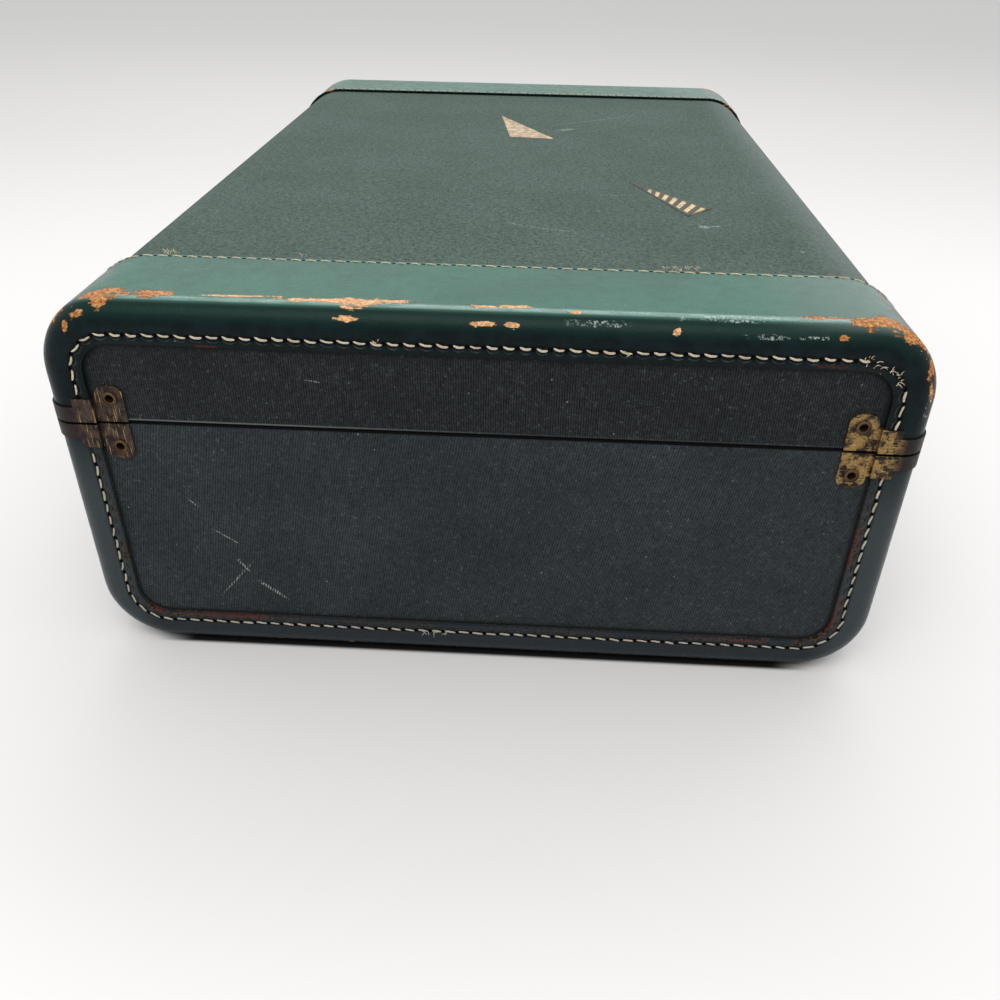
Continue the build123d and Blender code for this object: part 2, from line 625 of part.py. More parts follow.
def handle_route():
    """Line down one leg, along the bowed grip and up the other leg, from pin to pin."""
    half = HANDLE_SPACING / 2
    shoulder = HANDLE_BOW - HANDLE_DROP
    points = [(-half, 0), (-half, shoulder), (0, -HANDLE_DROP), (half, shoulder), (half, 0)]
    bow_radius = HANDLE_SPACING
    radii = [HANDLE_CORNER_RADIUS, bow_radius, HANDLE_CORNER_RADIUS]
    return FilletPolyline(*points, radius=radii)


def handle_core():
    """Flat U of stiff leather over steel with a round eye at each end."""
    outline = trace(handle_route(), HANDLE_CORE_WIDTH)
    core = extrude(outline, HANDLE_CORE_THICKNESS / 2, both=True)
    half = HANDLE_SPACING / 2
    eye_half = HANDLE_EYE_WIDTH / 2
    for side in (-1, 1):
        ends = (side * half - eye_half, side * half + eye_half)
        core += rod(HANDLE_EYE_RADIUS, ends, 0, 0)
    reach = half + HANDLE_EYE_WIDTH
    return core - rod(HANDLE_PIN_RADIUS + RUNNING_CLEARANCE, (-reach, reach), 0, 0)


def handle_grip():
    """Padded roll round the U's cross bar, fullest in the middle, drawn in at its ends."""
    sections = []
    for step in GRIP_STEPS:
        along = step * GRIP_LENGTH / 2
        fullness = 1 - (1 - GRIP_END_SHARE) * step * step
        rise = GRIP_BOW * step * step + GRIP_RAISE
        section = Ellipse(GRIP_HALF_HEIGHT * fullness, GRIP_HALF_THICKNESS * fullness)
        plane = Plane(origin=(along, rise - HANDLE_DROP, 0), x_dir=(0, 1, 0), z_dir=(1, 0, 0))
        sections.append(plane * section)
    return loft(sections)


def handle_bracket(centre):
    """Plate with two ears that hold a handle pin."""
    up = HANDLE_PIN_HEIGHT
    half = BRACKET_WIDTH / 2
    tall = BRACKET_HEIGHT / 2
    plate = span((centre - half, centre + half), (up - tall, up + tall), (0, BRACKET_SHEET))
    plate = fillet(plate.edges().filter_by(Axis.Z), BRACKET_CORNER)
    inner = HANDLE_EYE_WIDTH / 2 + AXIAL_CLEARANCE
    for side in (-1, 1):
        ends = sorted((centre + side * inner, centre + side * (inner + EAR_THICKNESS)))
        ear = rod(EAR_RADIUS, ends, up, HANDLE_PIN_OUT)
        ear += span(ends, (up - EAR_RADIUS, up + EAR_RADIUS), (0, HANDLE_PIN_OUT))
        foot = span(ends, (up - EAR_BASE / 2, up + EAR_BASE / 2), (0, BRACKET_SHEET * 2))
        plate += ear + foot
    return plate - rod(HANDLE_PIN_RADIUS, (centre - half, centre + half), up, HANDLE_PIN_OUT)


def handle_pin(centre):
    """Pin through both ears with a small head outside each."""
    half = HANDLE_EYE_WIDTH / 2 + AXIAL_CLEARANCE + EAR_THICKNESS
    up = HANDLE_PIN_HEIGHT
    pin = rod(HANDLE_PIN_RADIUS, (centre - half, centre + half), up, HANDLE_PIN_OUT)
    for side in (-1, 1):
        ends = sorted((centre + side * half, centre + side * (half + PIN_HEAD_LENGTH)))
        pin += rod(HANDLE_PIN_RADIUS + PIN_HEAD_RIM, ends, up, HANDLE_PIN_OUT)
    return pin


def build_handle():
    """Handle hanging against the front wall, its brackets, pins and rivets."""
    hang = FRONT.location * Pos(0, HANDLE_PIN_HEIGHT, HANDLE_PIN_OUT) * Rot(-HANDLE_TILT, 0, 0)
    core = handle_core()
    pieces["handle_core"] = hang * core
    pieces["handle_grip"] = hang * (handle_grip() - core)
    half = HANDLE_SPACING / 2
    rivet_x = BRACKET_WIDTH / 2 - BRACKET_RIVET_SIDE
    rivet_y = BRACKET_HEIGHT / 2 - BRACKET_RIVET_TOP
    solids = []
    holes = []
    for label, centre in (("near", half), ("far", -half)):
        places = [
            (centre + x, HANDLE_PIN_HEIGHT + y)
            for x in (-rivet_x, rivet_x)
            for y in (-rivet_y, rivet_y)
        ]
        rivets, cuts = small_rivets(FRONT, places, BRACKET_SHEET)
        pieces[f"handle_bracket_{label}"] = cut_all(FRONT.location * handle_bracket(centre), cuts)
        pieces[f"handle_pin_{label}"] = FRONT.location * handle_pin(centre)
        solids += rivets
        holes += cuts
    pieces["handle_rivets"] = Compound(solids)
    return {"body": holes, "lid": []}


def drill_walls(hole_sets):
    """Cut every rivet's hole through the layers of the wall that it holds."""
    layers = ("wrap_board", "near_end_board", "far_end_board", "canvas_wrap", "near_end_canvas")
    layers += ("far_end_canvas", "near_binding", "far_binding", "lining")
    for half in ("body", "lid"):
        holes = [hole for hole_set in hole_sets for hole in hole_set[half]]
        for layer in layers:
            name = f"{half}_{layer}"
            box = pieces[name].bounding_box()
            reached = [hole for hole in holes if hole.bounding_box().overlaps(box)]
            if reached:
                pieces[name] = pieces[name] - reached


def write_parts():
    """Centre the whole case on the origin and write one file a piece."""
    for name, solid in pieces.items():
        placed = Pos(CENTRE_SHIFT, 0, 0) * solid
        export_step(placed, os.path.join("parts", f"{name}.step"))


build_half("body", below(PARTING_HEIGHT), below(BODY_COVER_TOP))
build_half("lid", above(LID_SEAT), above(LID_COVER_BOTTOM))
build_locating_lip()
drill_walls([build_clips(), build_latches(), build_hinges(), build_handle()])
write_parts()
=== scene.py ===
"""Looks of a hard-shell suitcase: canvas, leather bindings, seams, brass, stickers, grip and stage."""

import json
import math

import bpy
import numpy as np
from bpy.props import FloatProperty, FloatVectorProperty, IntProperty, PointerProperty
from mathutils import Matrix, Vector


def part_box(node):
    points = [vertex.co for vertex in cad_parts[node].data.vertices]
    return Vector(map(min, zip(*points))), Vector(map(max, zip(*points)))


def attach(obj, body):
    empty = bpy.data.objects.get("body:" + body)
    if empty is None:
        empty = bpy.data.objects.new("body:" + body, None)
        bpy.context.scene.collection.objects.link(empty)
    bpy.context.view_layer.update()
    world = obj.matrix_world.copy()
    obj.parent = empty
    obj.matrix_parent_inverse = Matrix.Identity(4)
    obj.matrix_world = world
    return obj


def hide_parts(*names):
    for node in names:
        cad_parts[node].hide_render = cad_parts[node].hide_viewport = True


bl_info = {
    "name": "Hard-shell suitcase",
    "version": (1, 0, 0),
    "blender": (4, 5, 0),
    "location": "View3D > Sidebar > Suitcase",
    "description": "Finishes, seams, stickers, grip and stage of a leather-bound canvas suitcase",
    "category": "Object",
}

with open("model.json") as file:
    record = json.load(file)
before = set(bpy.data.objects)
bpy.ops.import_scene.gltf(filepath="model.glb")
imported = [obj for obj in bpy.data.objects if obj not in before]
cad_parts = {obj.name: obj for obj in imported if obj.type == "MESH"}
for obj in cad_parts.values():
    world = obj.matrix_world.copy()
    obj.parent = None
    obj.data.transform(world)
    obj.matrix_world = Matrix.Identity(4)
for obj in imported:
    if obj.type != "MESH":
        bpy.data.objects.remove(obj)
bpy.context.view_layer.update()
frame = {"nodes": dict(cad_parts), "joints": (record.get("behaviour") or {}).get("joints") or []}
NODES = frame["nodes"]
MM = 0.001

# The closed case, read from the frame: outside of the leather, parting and bindings
LEFT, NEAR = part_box("lid_near_binding")[0].xy
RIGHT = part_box("lid_near_binding")[1].x
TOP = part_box("lid_near_binding")[1].z
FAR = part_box("lid_far_binding")[1].y
BAND_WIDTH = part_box("lid_near_binding")[1].y - NEAR
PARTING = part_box("body_near_end_board")[1].z
LID_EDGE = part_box("lid_near_binding")[0].z
MIDDLE_X = (LEFT + RIGHT) / 2

# Shape of the section: its corners, the window that the leather leaves on each end, and the seams
CORNER_RADIUS = 32 * MM
WINDOW_INSET = 18.8 * MM
WINDOW_TOP_INSET = 17.4 * MM
WINDOW_RADIUS = CORNER_RADIUS - WINDOW_INSET
SEAM_FROM_WINDOW = 4.2 * MM
WRAP_SEAM_FROM_CUT = 2.0 * MM
LEATHER_THICKNESS = 1.8 * MM

# How far the two seams stop short of the parting, how fine the wrap's seam is beside the face's,
# and where the near end's face seam is frayed away
FACE_SEAM_STOP = 12.5 * MM
WRAP_SEAM_STOP = 2.6 * MM
WRAP_SEAM_FINENESS = 0.75
FRAYED_X = 160 * MM
FRAYED_REACH = 5.5 * MM
FRAYED_ABOVE = 140 * MM

# Paper of the pennants, and the paste under it
PAPER_THICKNESS = 0.12 * MM
PASTE_THICKNESS = 0.03 * MM

# Section of the handle's grip, the sag of its middle line and the angle of its seam
GRIP_HALF_HEIGHT = 11 * MM
GRIP_HALF_THICKNESS = 8.5 * MM
GRIP_SAG = 3 * MM
SEAM_ANGLE = math.radians(62)

# Camera fitted to the photograph's edges and seams
CAMERA_PLACE = (0.02745, -0.5847, 0.3028)
CAMERA_TURN = (0.9901, -0.0147, 0.0541)
CAMERA_LENS = 33.106
CAMERA_SENSOR = 36.0


def linear(hex_colour):
    """Linear red, green, blue and alpha of an sRGB hex colour."""
    channels = [int(hex_colour[i : i + 2], 16) / 255 for i in (1, 3, 5)]
    lin = [c / 12.92 if c <= 0.04045 else ((c + 0.055) / 1.055) ** 2.4 for c in channels]
    return (*lin, 1.0)


def colour(label, text, hex_colour):
    """A colour that the sidebar offers."""
    return FloatVectorProperty(
        name=label, description=text, subtype="COLOR", size=4, min=0, max=1, default=linear(hex_colour)
    )


def length(label, text, millimetres):
    """A length that the sidebar offers."""
    return FloatProperty(name=label, description=text, unit="LENGTH", min=0, default=millimetres * MM)


class SuitcaseFinish(bpy.types.PropertyGroup):
    """Colours of the case's materials."""

    # Leather paint is the lit copy of the green paint on top; the walls' colour is the same paint darkened
    # as painted shade
    leather: colour("Leather paint", "Green paint on top, where the light has kept it clear", "#236450")
    leather_painted_shade: colour("Leather paint, walls", "Darkened paint on the ends and sides", "#0a1518")
    raw_leather: colour("Raw leather", "Tan hide where the paint has worn off", "#d68c4a")
    thread: colour("Thread", "Waxed linen thread", "#d3c5ab")
    lining: colour("Lining", "Rayon lining", "#8f7d5e")


class SuitcaseSeams(bpy.types.PropertyGroup):
    """Sizes of the stitches."""

    pitch: length("Pitch", "Distance from one stitch to the next", 6.4)
    stitch: length("Stitch", "Length of the thread that shows in one stitch", 5.1)
    thickness: length("Thread", "Thickness of the thread", 0.92)
    slant: FloatProperty(
        name="Slant", description="Turn of a stitch off its row", subtype="ANGLE", default=-0.15
    )
    seed: IntProperty(name="Seed", description="Start of the stitches' unevenness", default=5)


class SuitcaseGrip(bpy.types.PropertyGroup):
    """Shape of the handle's padded grip."""

    fullness: FloatProperty(
        name="Fullness", description="Padding from slack to tight", min=0, max=1, default=0.85
    )
    waist: FloatProperty(
        name="Ends", description="Size of the ends as a share of the middle", min=0.3, max=1, default=0.72
    )


# The setting that a node's mode is kept in, and its mode where none is named
MODES = {
    "Math": ("operation", None),
    "VectorMath": ("operation", None),
    "Mix": ("data_type", "RGBA"),
    "MapRange": ("interpolation_type", "SMOOTHSTEP"),
}


def adder(tree):
    """The function that adds nodes to this tree."""

    def add(kind, *values, output=None, **named_values):
        """Add one node, fill it, and give one of its outputs, the first in use if none is named.

        Kind is the node's type and its mode. Values are sockets to link or constants to set on
        the inputs in use, in order, and a colour can be given in hex. A keyword is the name of
        an input, with _ for each space, or a setting of the node.
        """
        kind, _, mode = kind.partition(" ")
        made = tree.nodes.new("ShaderNode" + kind)
        if kind in MODES:
            setting, usual = MODES[kind]
            setattr(made, setting, mode or usual)
        in_use = [socket for socket in made.inputs if socket.enabled]
        filled = list(zip(in_use, values))
        for name, value in named_values.items():
            socket = made.inputs.get(name.replace("_", " "))
            if socket is None:
                setattr(made, name, value)
            else:
                filled.append((socket, value))
        for socket, value in filled:
            if isinstance(value, bpy.types.NodeSocket):
                tree.links.new(value, socket)
            else:
                socket.default_value = linear(value) if isinstance(value, str) else value
        if output is not None:
            return made.outputs[output]
        return next((socket for socket in made.outputs if socket.enabled), None)

    return add


def start_material(name):
    """A new material, the function that adds its nodes, and Object coordinates in millimetres."""
    material = bpy.data.materials.new(name)
    material.use_nodes = True
    material.node_tree.nodes.clear()
    add = adder(material.node_tree)
    return material, add, add("VectorMath SCALE", add("TexCoord", output="Object"), 1 / MM)


def layered(add, ground, *layers):
    """The ground with colours laid over it, one after another.

    A layer is the value that it follows, where it starts and where it is full, its share of
    cover and its colour.
    """
    for value, start, full, share, tone in layers:
        ground = add("Mix", add("MapRange", value, start, full, 0, share), ground, tone)
    return ground


def depth_inside(add, place, low, high, radius):
    """Depth in mm inside a rounded rectangle of the XZ section, given by its low and high corners.

    With q the place from the centre, without sign, less the half sizes and plus the corner
    radius, it is radius less the length of q's positive part, less q's larger side where that
    is negative.
    """
    centre = ((low[0] + high[0]) / 2 / MM, 0, (low[1] + high[1]) / 2 / MM)
    half = ((high[0] - low[0]) / 2 / MM - radius / MM, 0, (high[1] - low[1]) / 2 / MM - radius / MM)
    offset = add("VectorMath ABSOLUTE", add("VectorMath SUBTRACT", place, centre))
    q = add("VectorMath SUBTRACT", add("VectorMath MULTIPLY", offset, (1, 0, 1)), half)
    outside = add("VectorMath LENGTH", add("VectorMath MAXIMUM", q, (0, 0, 0)))
    parts = add("SeparateXYZ", q).node
    inside = add("Math MINIMUM", add("Math MAXIMUM", parts.outputs[0], parts.outputs[2]), 0.0)
    return add("Math SUBTRACT", radius / MM, add("Math ADD", outside, inside))


def under_case(add, place):
    """Depth in mm under the section's outline, and depth in mm under the nearer end face."""
    under_outline = depth_inside(add, place, (LEFT, 0), (RIGHT, TOP), CORNER_RADIUS)
    along = add("Math ABSOLUTE", add("SeparateXYZ", place, output="Y"))
    return under_outline, add("Math SUBTRACT", FAR / MM, along)


def from_middle(add, place):
    """Distance in mm to either side of the case's middle plane, |x - middle|."""
    offset = add("Math SUBTRACT", add("SeparateXYZ", place, output="X"), MIDDLE_X / MM)
    return add("Math ABSOLUTE", offset)


def inside_window(add, place):
    """Depth in mm from the leather's cut edge into the window that it leaves on an end face."""
    low = (LEFT + WINDOW_INSET, WINDOW_INSET)
    high = (RIGHT - WINDOW_INSET, TOP - WINDOW_TOP_INSET)
    return depth_inside(add, place, low, high, WINDOW_RADIUS)


def facing_up(add):
    """How far the surface faces up: 1 on a level top, 0 on a wall."""
    return add("SeparateXYZ", add("TexCoord", output="Normal"), output="Z")


def shaken(add, place, grain, amount):
    """The place moved by up to amount mm each way by noise of that grain, for ragged borders."""
    noise = add("TexNoise", place, 1 / grain, Detail=4.0, output="Color")
    swing = add("VectorMath SUBTRACT", noise, (0.5, 0.5, 0.5))
    return add("VectorMath ADD", place, add("VectorMath SCALE", swing, 2.0 * amount))


def marks(add, place, spots):
    """Least distance to a set of oval spots, each measured in its own half sizes, so 1 is its border.

    A spot is its centre and half sizes in mm, and its turn in degrees about X, Y and Z if it
    has one.
    """
    nearest = None
    for centre, halves, *turn in spots:
        angles = [math.radians(angle) for angle in (turn[0] if turn else (0, 0, 0))]
        local = add("Mapping", place, Location=centre, Rotation=angles, Scale=halves, vector_type="TEXTURE")
        distance = add("VectorMath LENGTH", local)
        nearest = distance if nearest is None else add("Math MINIMUM", nearest, distance)
    return nearest


# Bare leather on the bindings, as the photograph shows it: centre, half sizes and turn
BARE_PATCHES = (
    ((-144, -250, 171), (12, 3.8, 3), (0, 8, 4)),
    ((-144, -254.5, 170), (2.6, 3.6, 3.4), (0, 0, 20)),
    ((-164, -251, 163), (4, 3.0, 5.5), (0, 35, 0)),
    ((-152, -258, 166), (3.2, 2.2, 1.8), (0, -25, 0)),
    ((-157.5, -258, 160.5), (1.4, 2.2, 2.2)),
    ((-122.5, -249, 172), (7.5, 2.8, 2.5)),
    ((-90, -249.4, 172), (14, 0.8, 2.0), (0, 0, 2)),
    ((-66, -250.6, 172), (4, 0.8, 1.0)),
    ((-43, -250.2, 172), (22, 2.0, 2.5), (0, 0, 2)),
    ((-41.5, -250.6, 171.8), (9, 3.8, 2.5)),
    ((-47.5, -258, 168), (4.4, 2.0, 1.5)),
    ((3, -251, 172), (6, 1.0, 2.0)),
    ((17.5, -250.5, 172), (6, 1.3, 2.0)),
    ((16.5, -258.2, 167.5), (3.4, 2.0, 1.3)),
    ((7, -258.2, 167.8), (4.5, 2.0, 0.8)),
    ((40, -253.2, 171.6), (2.2, 1.0, 1.6)),
    ((78.5, -258.5, 167.2), (1.5, 1.5, 1.1)),
    ((139.8, -258.6, 167.2), (1.8, 1.5, 0.8)),
    ((136, -251, 172), (12, 0.9, 1.6)),
    ((155, -252, 171), (13, 3.6, 3.0), (0, 10, 6)),
    ((169, -252.5, 166), (12, 4.2, 4.8), (0, 40, 0)),
    ((158, -250.5, 171), (7, 5.0, 3.0), (0, 12, 0)),
    ((176.5, -256, 156), (1.8, 2.4, 6), (0, 16, 0)),
    ((178.5, -258.5, 146), (0.9, 1.4, 5), (0, -14, 0)),
    ((160, -201.5, 171.5), (10, 2.6, 3), (0, 0, 12)),
    ((174.5, -222, 160), (2.4, 10, 5)),
    ((-150.4, 206.5, 170.7), (6, 2.4, 3), (0, 20, 0)),
    ((159.1, 250.4, 170.9), (9, 3.5, 4), (0, -25, 0)),
    ((168, 206, 167), (7, 2.0, 5), (0, 40, 0)),
)

# Where the leather's cut edge has gone red and raw on the near end
RAW_EDGES = (
    ((-114, -260, 17.4), (24, 4, 2.2)),
    ((116, -260, 16.2), (30, 4, 2.2)),
    ((164, -260, 36), (2.6, 4, 14), (0, 10, 0)),
    ((165, -260, 73), (2.4, 4, 12)),
    ((-147, -260, 21), (6, 4, 3), (0, 45, 0)),
    ((-103, -260, 155), (6, 4, 0.9)),
    ((138, -260, 156.4), (8, 4, 1.3)),
)

# Frayed ends of thread, mm
FACE_FRAYS = (
    *((150.5 + 3.2 * step, -260, 158.9 - 1.3 * step) for step in range(4)),
    *((163.5 + 0.9 * step, -260, 153.6 - 3.0 * step) for step in range(2)),
    (60, -260, 158.6),
    (-36, -260, 158.8),
)
LOW_FRAYS = ((-21, -260, 13.8), (-17, -260, 14.2), (-11, -260, 14.2))
TOP_FRAYS = (
    *((x, -201.5, 172) for x in (-136.7, -132.4, -76, 79, 83, 88, 92)),
    (85, -204.5, 172),
    (-134, -203.5, 172),
)

# White scuffs on the near rim
SCUFFS = (
    ((113, -258.7, 166.7), (10, 1.5, 1.1)),
    ((129, -258.8, 166.8), (6, 1.5, 0.8)),
    ((100, -254, 171.2), (16, 2.0, 1.2)),
    ((50, -257, 169), (14, 2.0, 1.4)),
    ((-2, -259, 160), (2.5, 1, 0.5), (0, 20, 0)),
    ((160, -256, 161), (6, 3, 3), (0, 30, 0)),
    ((178, -258, 140), (1.2, 2, 6)),
)

# Scratches in the canvas of the near end and of the lid's top
END_SCRATCHES = (
    ((-121, -258.2, 80.5), (3.2, 2, 0.35), (0, 43, 0)),
    ((-108.5, -258.2, 62.7), (7.5, 2, 0.45), (0, 34, 0)),
    ((-103.2, -258.2, 47.2), (5.0, 2, 0.6), (0, 52, 0)),
    ((-91, -258.2, 33.6), (9.0, 2, 1.0), (0, 38, 0)),
    ((-106.8, -258.2, 39.6), (13.5, 2, 0.45), (0, -49, 0)),
    ((-62.5, -258.2, 141), (3.6, 2, 0.25), (0, 8, 0)),
)
TOP_SCRATCHES = (
    ((59.6, 116.1, 170), (47, 0.6, 3), (0, 0, 36)),
    ((38, 81, 170), (9, 3.0, 3), (0, 0, 30)),
    ((62.4, -81.2, 170), (10, 0.45, 3), (0, 0, 6)),
    ((12.5, -138.6, 170), (5.3, 0.5, 3), (0, 0, -32)),
    ((29.4, -145, 170), (12.8, 0.5, 3), (0, 0, -16)),
    ((104.4, -134, 170), (3.4, 2.8, 3)),
    ((109.8, -132.6, 170), (3.6, 1.3, 3), (0, 0, 12)),
    ((144.3, -167.8, 170), (1.4, 1.4, 3)),
)


def painted_leather(settings):
    """Cowhide, dyed tan through and sprayed with green lacquer, smooth plated.

    The lacquer keeps a soft gloss over a fine pebble on top and is duller on the walls. Its colour
    carries painted light and shade: lit green on top, painted shade over the shoulders and walls,
    the lower walls lighter as painted light from the floor, and a painted highlight on the crest.
    Where it has chipped off along the rims the tan hide shows, rough and fibrous.
    """
    material, add, place = start_material("painted_leather")
    under_outline, under_end = under_case(add, place)
    height_z = add("SeparateXYZ", place, output="Z")
    sideways = from_middle(add, place)
    from_cut = add("Math MULTIPLY", inside_window(add, place), -1.0)
    up = add("Math MULTIPLY", facing_up(add), add("MapRange", from_cut, 0.8, 2.2))
    up = add("Math MULTIPLY", up, add("MapRange", height_z, 124.0, 134.0))
    cloud = add("TexNoise", place, 1 / 45, Detail=5.0)
    mottle = add("TexNoise", place, 1 / 6, Detail=6.0)
    pebble = add("TexVoronoi", place, 1 / 0.9, Detail=2.0)
    streaky = add("Mapping", place, Scale=(0.12, 1.0, 1.0))
    streaks = add("TexNoise", streaky, 1 / 1.4, Detail=5.0)

    # Painted light and shade: clear green on top as the lit paint, deep green over the shoulders and
    # dark walls as painted shade, the lower walls lightened as painted light from the floor, a pale
    # crest as a painted highlight, and a pale right edge
    green = layered(
        add,
        settings.leather,
        (cloud, 0.35, 0.7, 1, "#1c5746"),
        (mottle, 0.45, 0.75, 0.3, "#133c33"),
        (streaks, 0.55, 0.8, 0.25, "#5a8678"),
    )
    # Painted light: the lower walls are lightened as if lit from the floor, more on the sides
    brightened = layered(add, "#2b3135", (sideways, 150, 166, 1, "#3a4244"))
    wall = layered(add, settings.leather_painted_shade, (mottle, 0.35, 0.7, 1, "#0f1e21"))
    wall = layered(add, wall, (height_z, 132, 80, 1, brightened))
    deep = layered(add, "#142f29", (sideways, 150, 172, 0.6, "#15201f"))
    # Painted shade over the shoulders and on the walls, the lit green on top, by how far the surface faces
    # up
    paint = layered(add, wall, (up, 0.1, 0.72, 1, deep), (up, 0.84, 0.95, 1, green))
    to_right = add("MapRange", add("SeparateXYZ", place, output="X"), 100.0, 172.0, 0, 0.4)
    to_right = add("Math MULTIPLY", to_right, add("MapRange", up, 0.6, 0.9))
    paint = add("Mix", to_right, paint, "#8c9a95")
    # Painted highlight: a pale streaky band along the crest of the rolled top edge by the ends
    painted_crest_highlight = add("Math MULTIPLY", add("MapRange", up, 0.9, 0.95), add("MapRange", up, 0.996, 0.98))
    painted_crest_highlight = add("Math MULTIPLY", painted_crest_highlight, add("MapRange", under_end, 11.0, 9.0))
    painted_crest_highlight = add("Math MULTIPLY", painted_crest_highlight, add("MapRange", streaks, 0.3, 0.6, 0.3, 0.7))
    paint = add("Mix", painted_crest_highlight, paint, "#8fa9a2")

    # The end faces: painted shade in the groove that the thread has pulled, and the cut edge rolled up brown
    # and raw
    on_end = add("MapRange", under_end, 4.0, 2.0)
    from_seam = add("Math ABSOLUTE", add("Math SUBTRACT", from_cut, SEAM_FROM_WINDOW / MM))
    groove = add("Math MULTIPLY", add("MapRange", from_seam, 1.9, 0.3), on_end)
    # Painted shade: the seam's groove is darkened nearly to black
    paint = layered(add, paint, (groove, 0, 1, 0.65, "#050708"))
    patchy = add("TexNoise", place, 1 / 14, Detail=6.0)
    fibre = add("TexNoise", place, 1 / 1.3, Detail=6.0, Roughness=0.75)
    low_down = add("MapRange", height_z, 120.0, 40.0, 0.1, 1.0)
    browned = add("Math MULTIPLY", low_down, add("MapRange", sideways, 70.0, 140.0, 0.25, 1.0))
    browned = add("Math MULTIPLY", browned, add("MapRange", patchy, 0.38, 0.6))
    browned = add("Math MULTIPLY", browned, add("MapRange", from_cut, 3.0, 1.6))
    browned = add("Math MULTIPLY", browned, on_end)
    paint = add("Mix", browned, paint, layered(add, "#1d1613", (fibre, 0.42, 0.6, 1, "#5c4c41")))
    raw = add("MapRange", marks(add, shaken(add, place, 3.0, 1.0), RAW_EDGES), 1.0, 0.7)
    raw = add("Math MULTIPLY", raw, add("MapRange", from_cut, 2.6, 1.4))
    raw = add("Math MULTIPLY", raw, add("MapRange", fibre, 0.4, 0.6, 0.05, 0.55))
    paint = add("Mix", raw, paint, "#6b2f25")

    # Bare patches with crumbling borders streaked along the rim, and small chips on every rim
    grain = add("TexNoise", streaky, 1 / 2.0, Detail=8.0, Roughness=0.7)
    broad = add("TexNoise", place, 1 / 7, Detail=6.0, Roughness=0.65)
    crumble = add("Math SUBTRACT", add("Math ADD", grain, broad), 1.0)
    border = add("Math MULTIPLY_ADD", crumble, 3.2, marks(add, place, BARE_PATCHES))
    rim = add("MapRange", add("Math MINIMUM", under_outline, under_end), 0.7, 2.6)
    chips = add("TexNoise", place, 1 / 16, Detail=9.0, Roughness=0.68)
    chips = add("Math MULTIPLY", add("MapRange", chips, 0.67, 0.69), rim)
    bare = add("Math MAXIMUM", add("MapRange", border, 1.06, 0.96), chips)
    hide = layered(
        add,
        "#a05a2a",
        (fibre, 0.38, 0.55, 1, settings.raw_leather),
        (fibre, 0.5, 0.62, 1, "#f3c690"),
        (broad, 0.54, 0.68, 0.5, "#8d5230"),
    )
    paled = add("Mix", 0.25, hide, "#f0dcb4")
    browner = add("Mix", 0.3, hide, "#33190c")
    hide = layered(add, paled, (sideways, 105, 130, 1, browner))
    skin = add("Mix", bare, paint, hide)
    scuffs = add("Math MULTIPLY_ADD", crumble, 2.4, marks(add, place, SCUFFS))
    scuffs = add("Math MULTIPLY", add("MapRange", scuffs, 1.0, 0.6), 0.6)
    scuffs = add("Math MULTIPLY", scuffs, add("MapRange", fibre, 0.5, 0.6))
    skin = add("Mix", scuffs, skin, "#cfd8d6")
    specks = add("TexVoronoi", place, 1 / 11, Randomness=1.0)
    skin = layered(add, skin, (specks, 0.04, 0.02, 0.4, "#b9c4c0"))

    rough = add("Mix FLOAT", bare, add("MapRange", mottle, 0.3, 0.7, 0.24, 0.34), 0.85)
    gloss = add("MapRange", up, 0.8, 0.95, 0.08, 0.6)
    height = add("Math MULTIPLY", pebble, 0.05)
    roll = add("MapRange", from_cut, 0.0, 1.6)
    for form, share in ((groove, -0.6), (roll, 0.7), (bare, -0.25), (mottle, 0.15)):
        height = add("Math MULTIPLY_ADD", form, share, height)
    bump = add("Bump", Height=height, Strength=0.9, Distance=MM)
    gloss_and_relief = {"Specular_IOR_Level": gloss, "IOR": 1.5, "Normal": bump}
    add("OutputMaterial", add("BsdfPrincipled", Base_Color=skin, Roughness=rough, **gloss_and_relief))
    return material


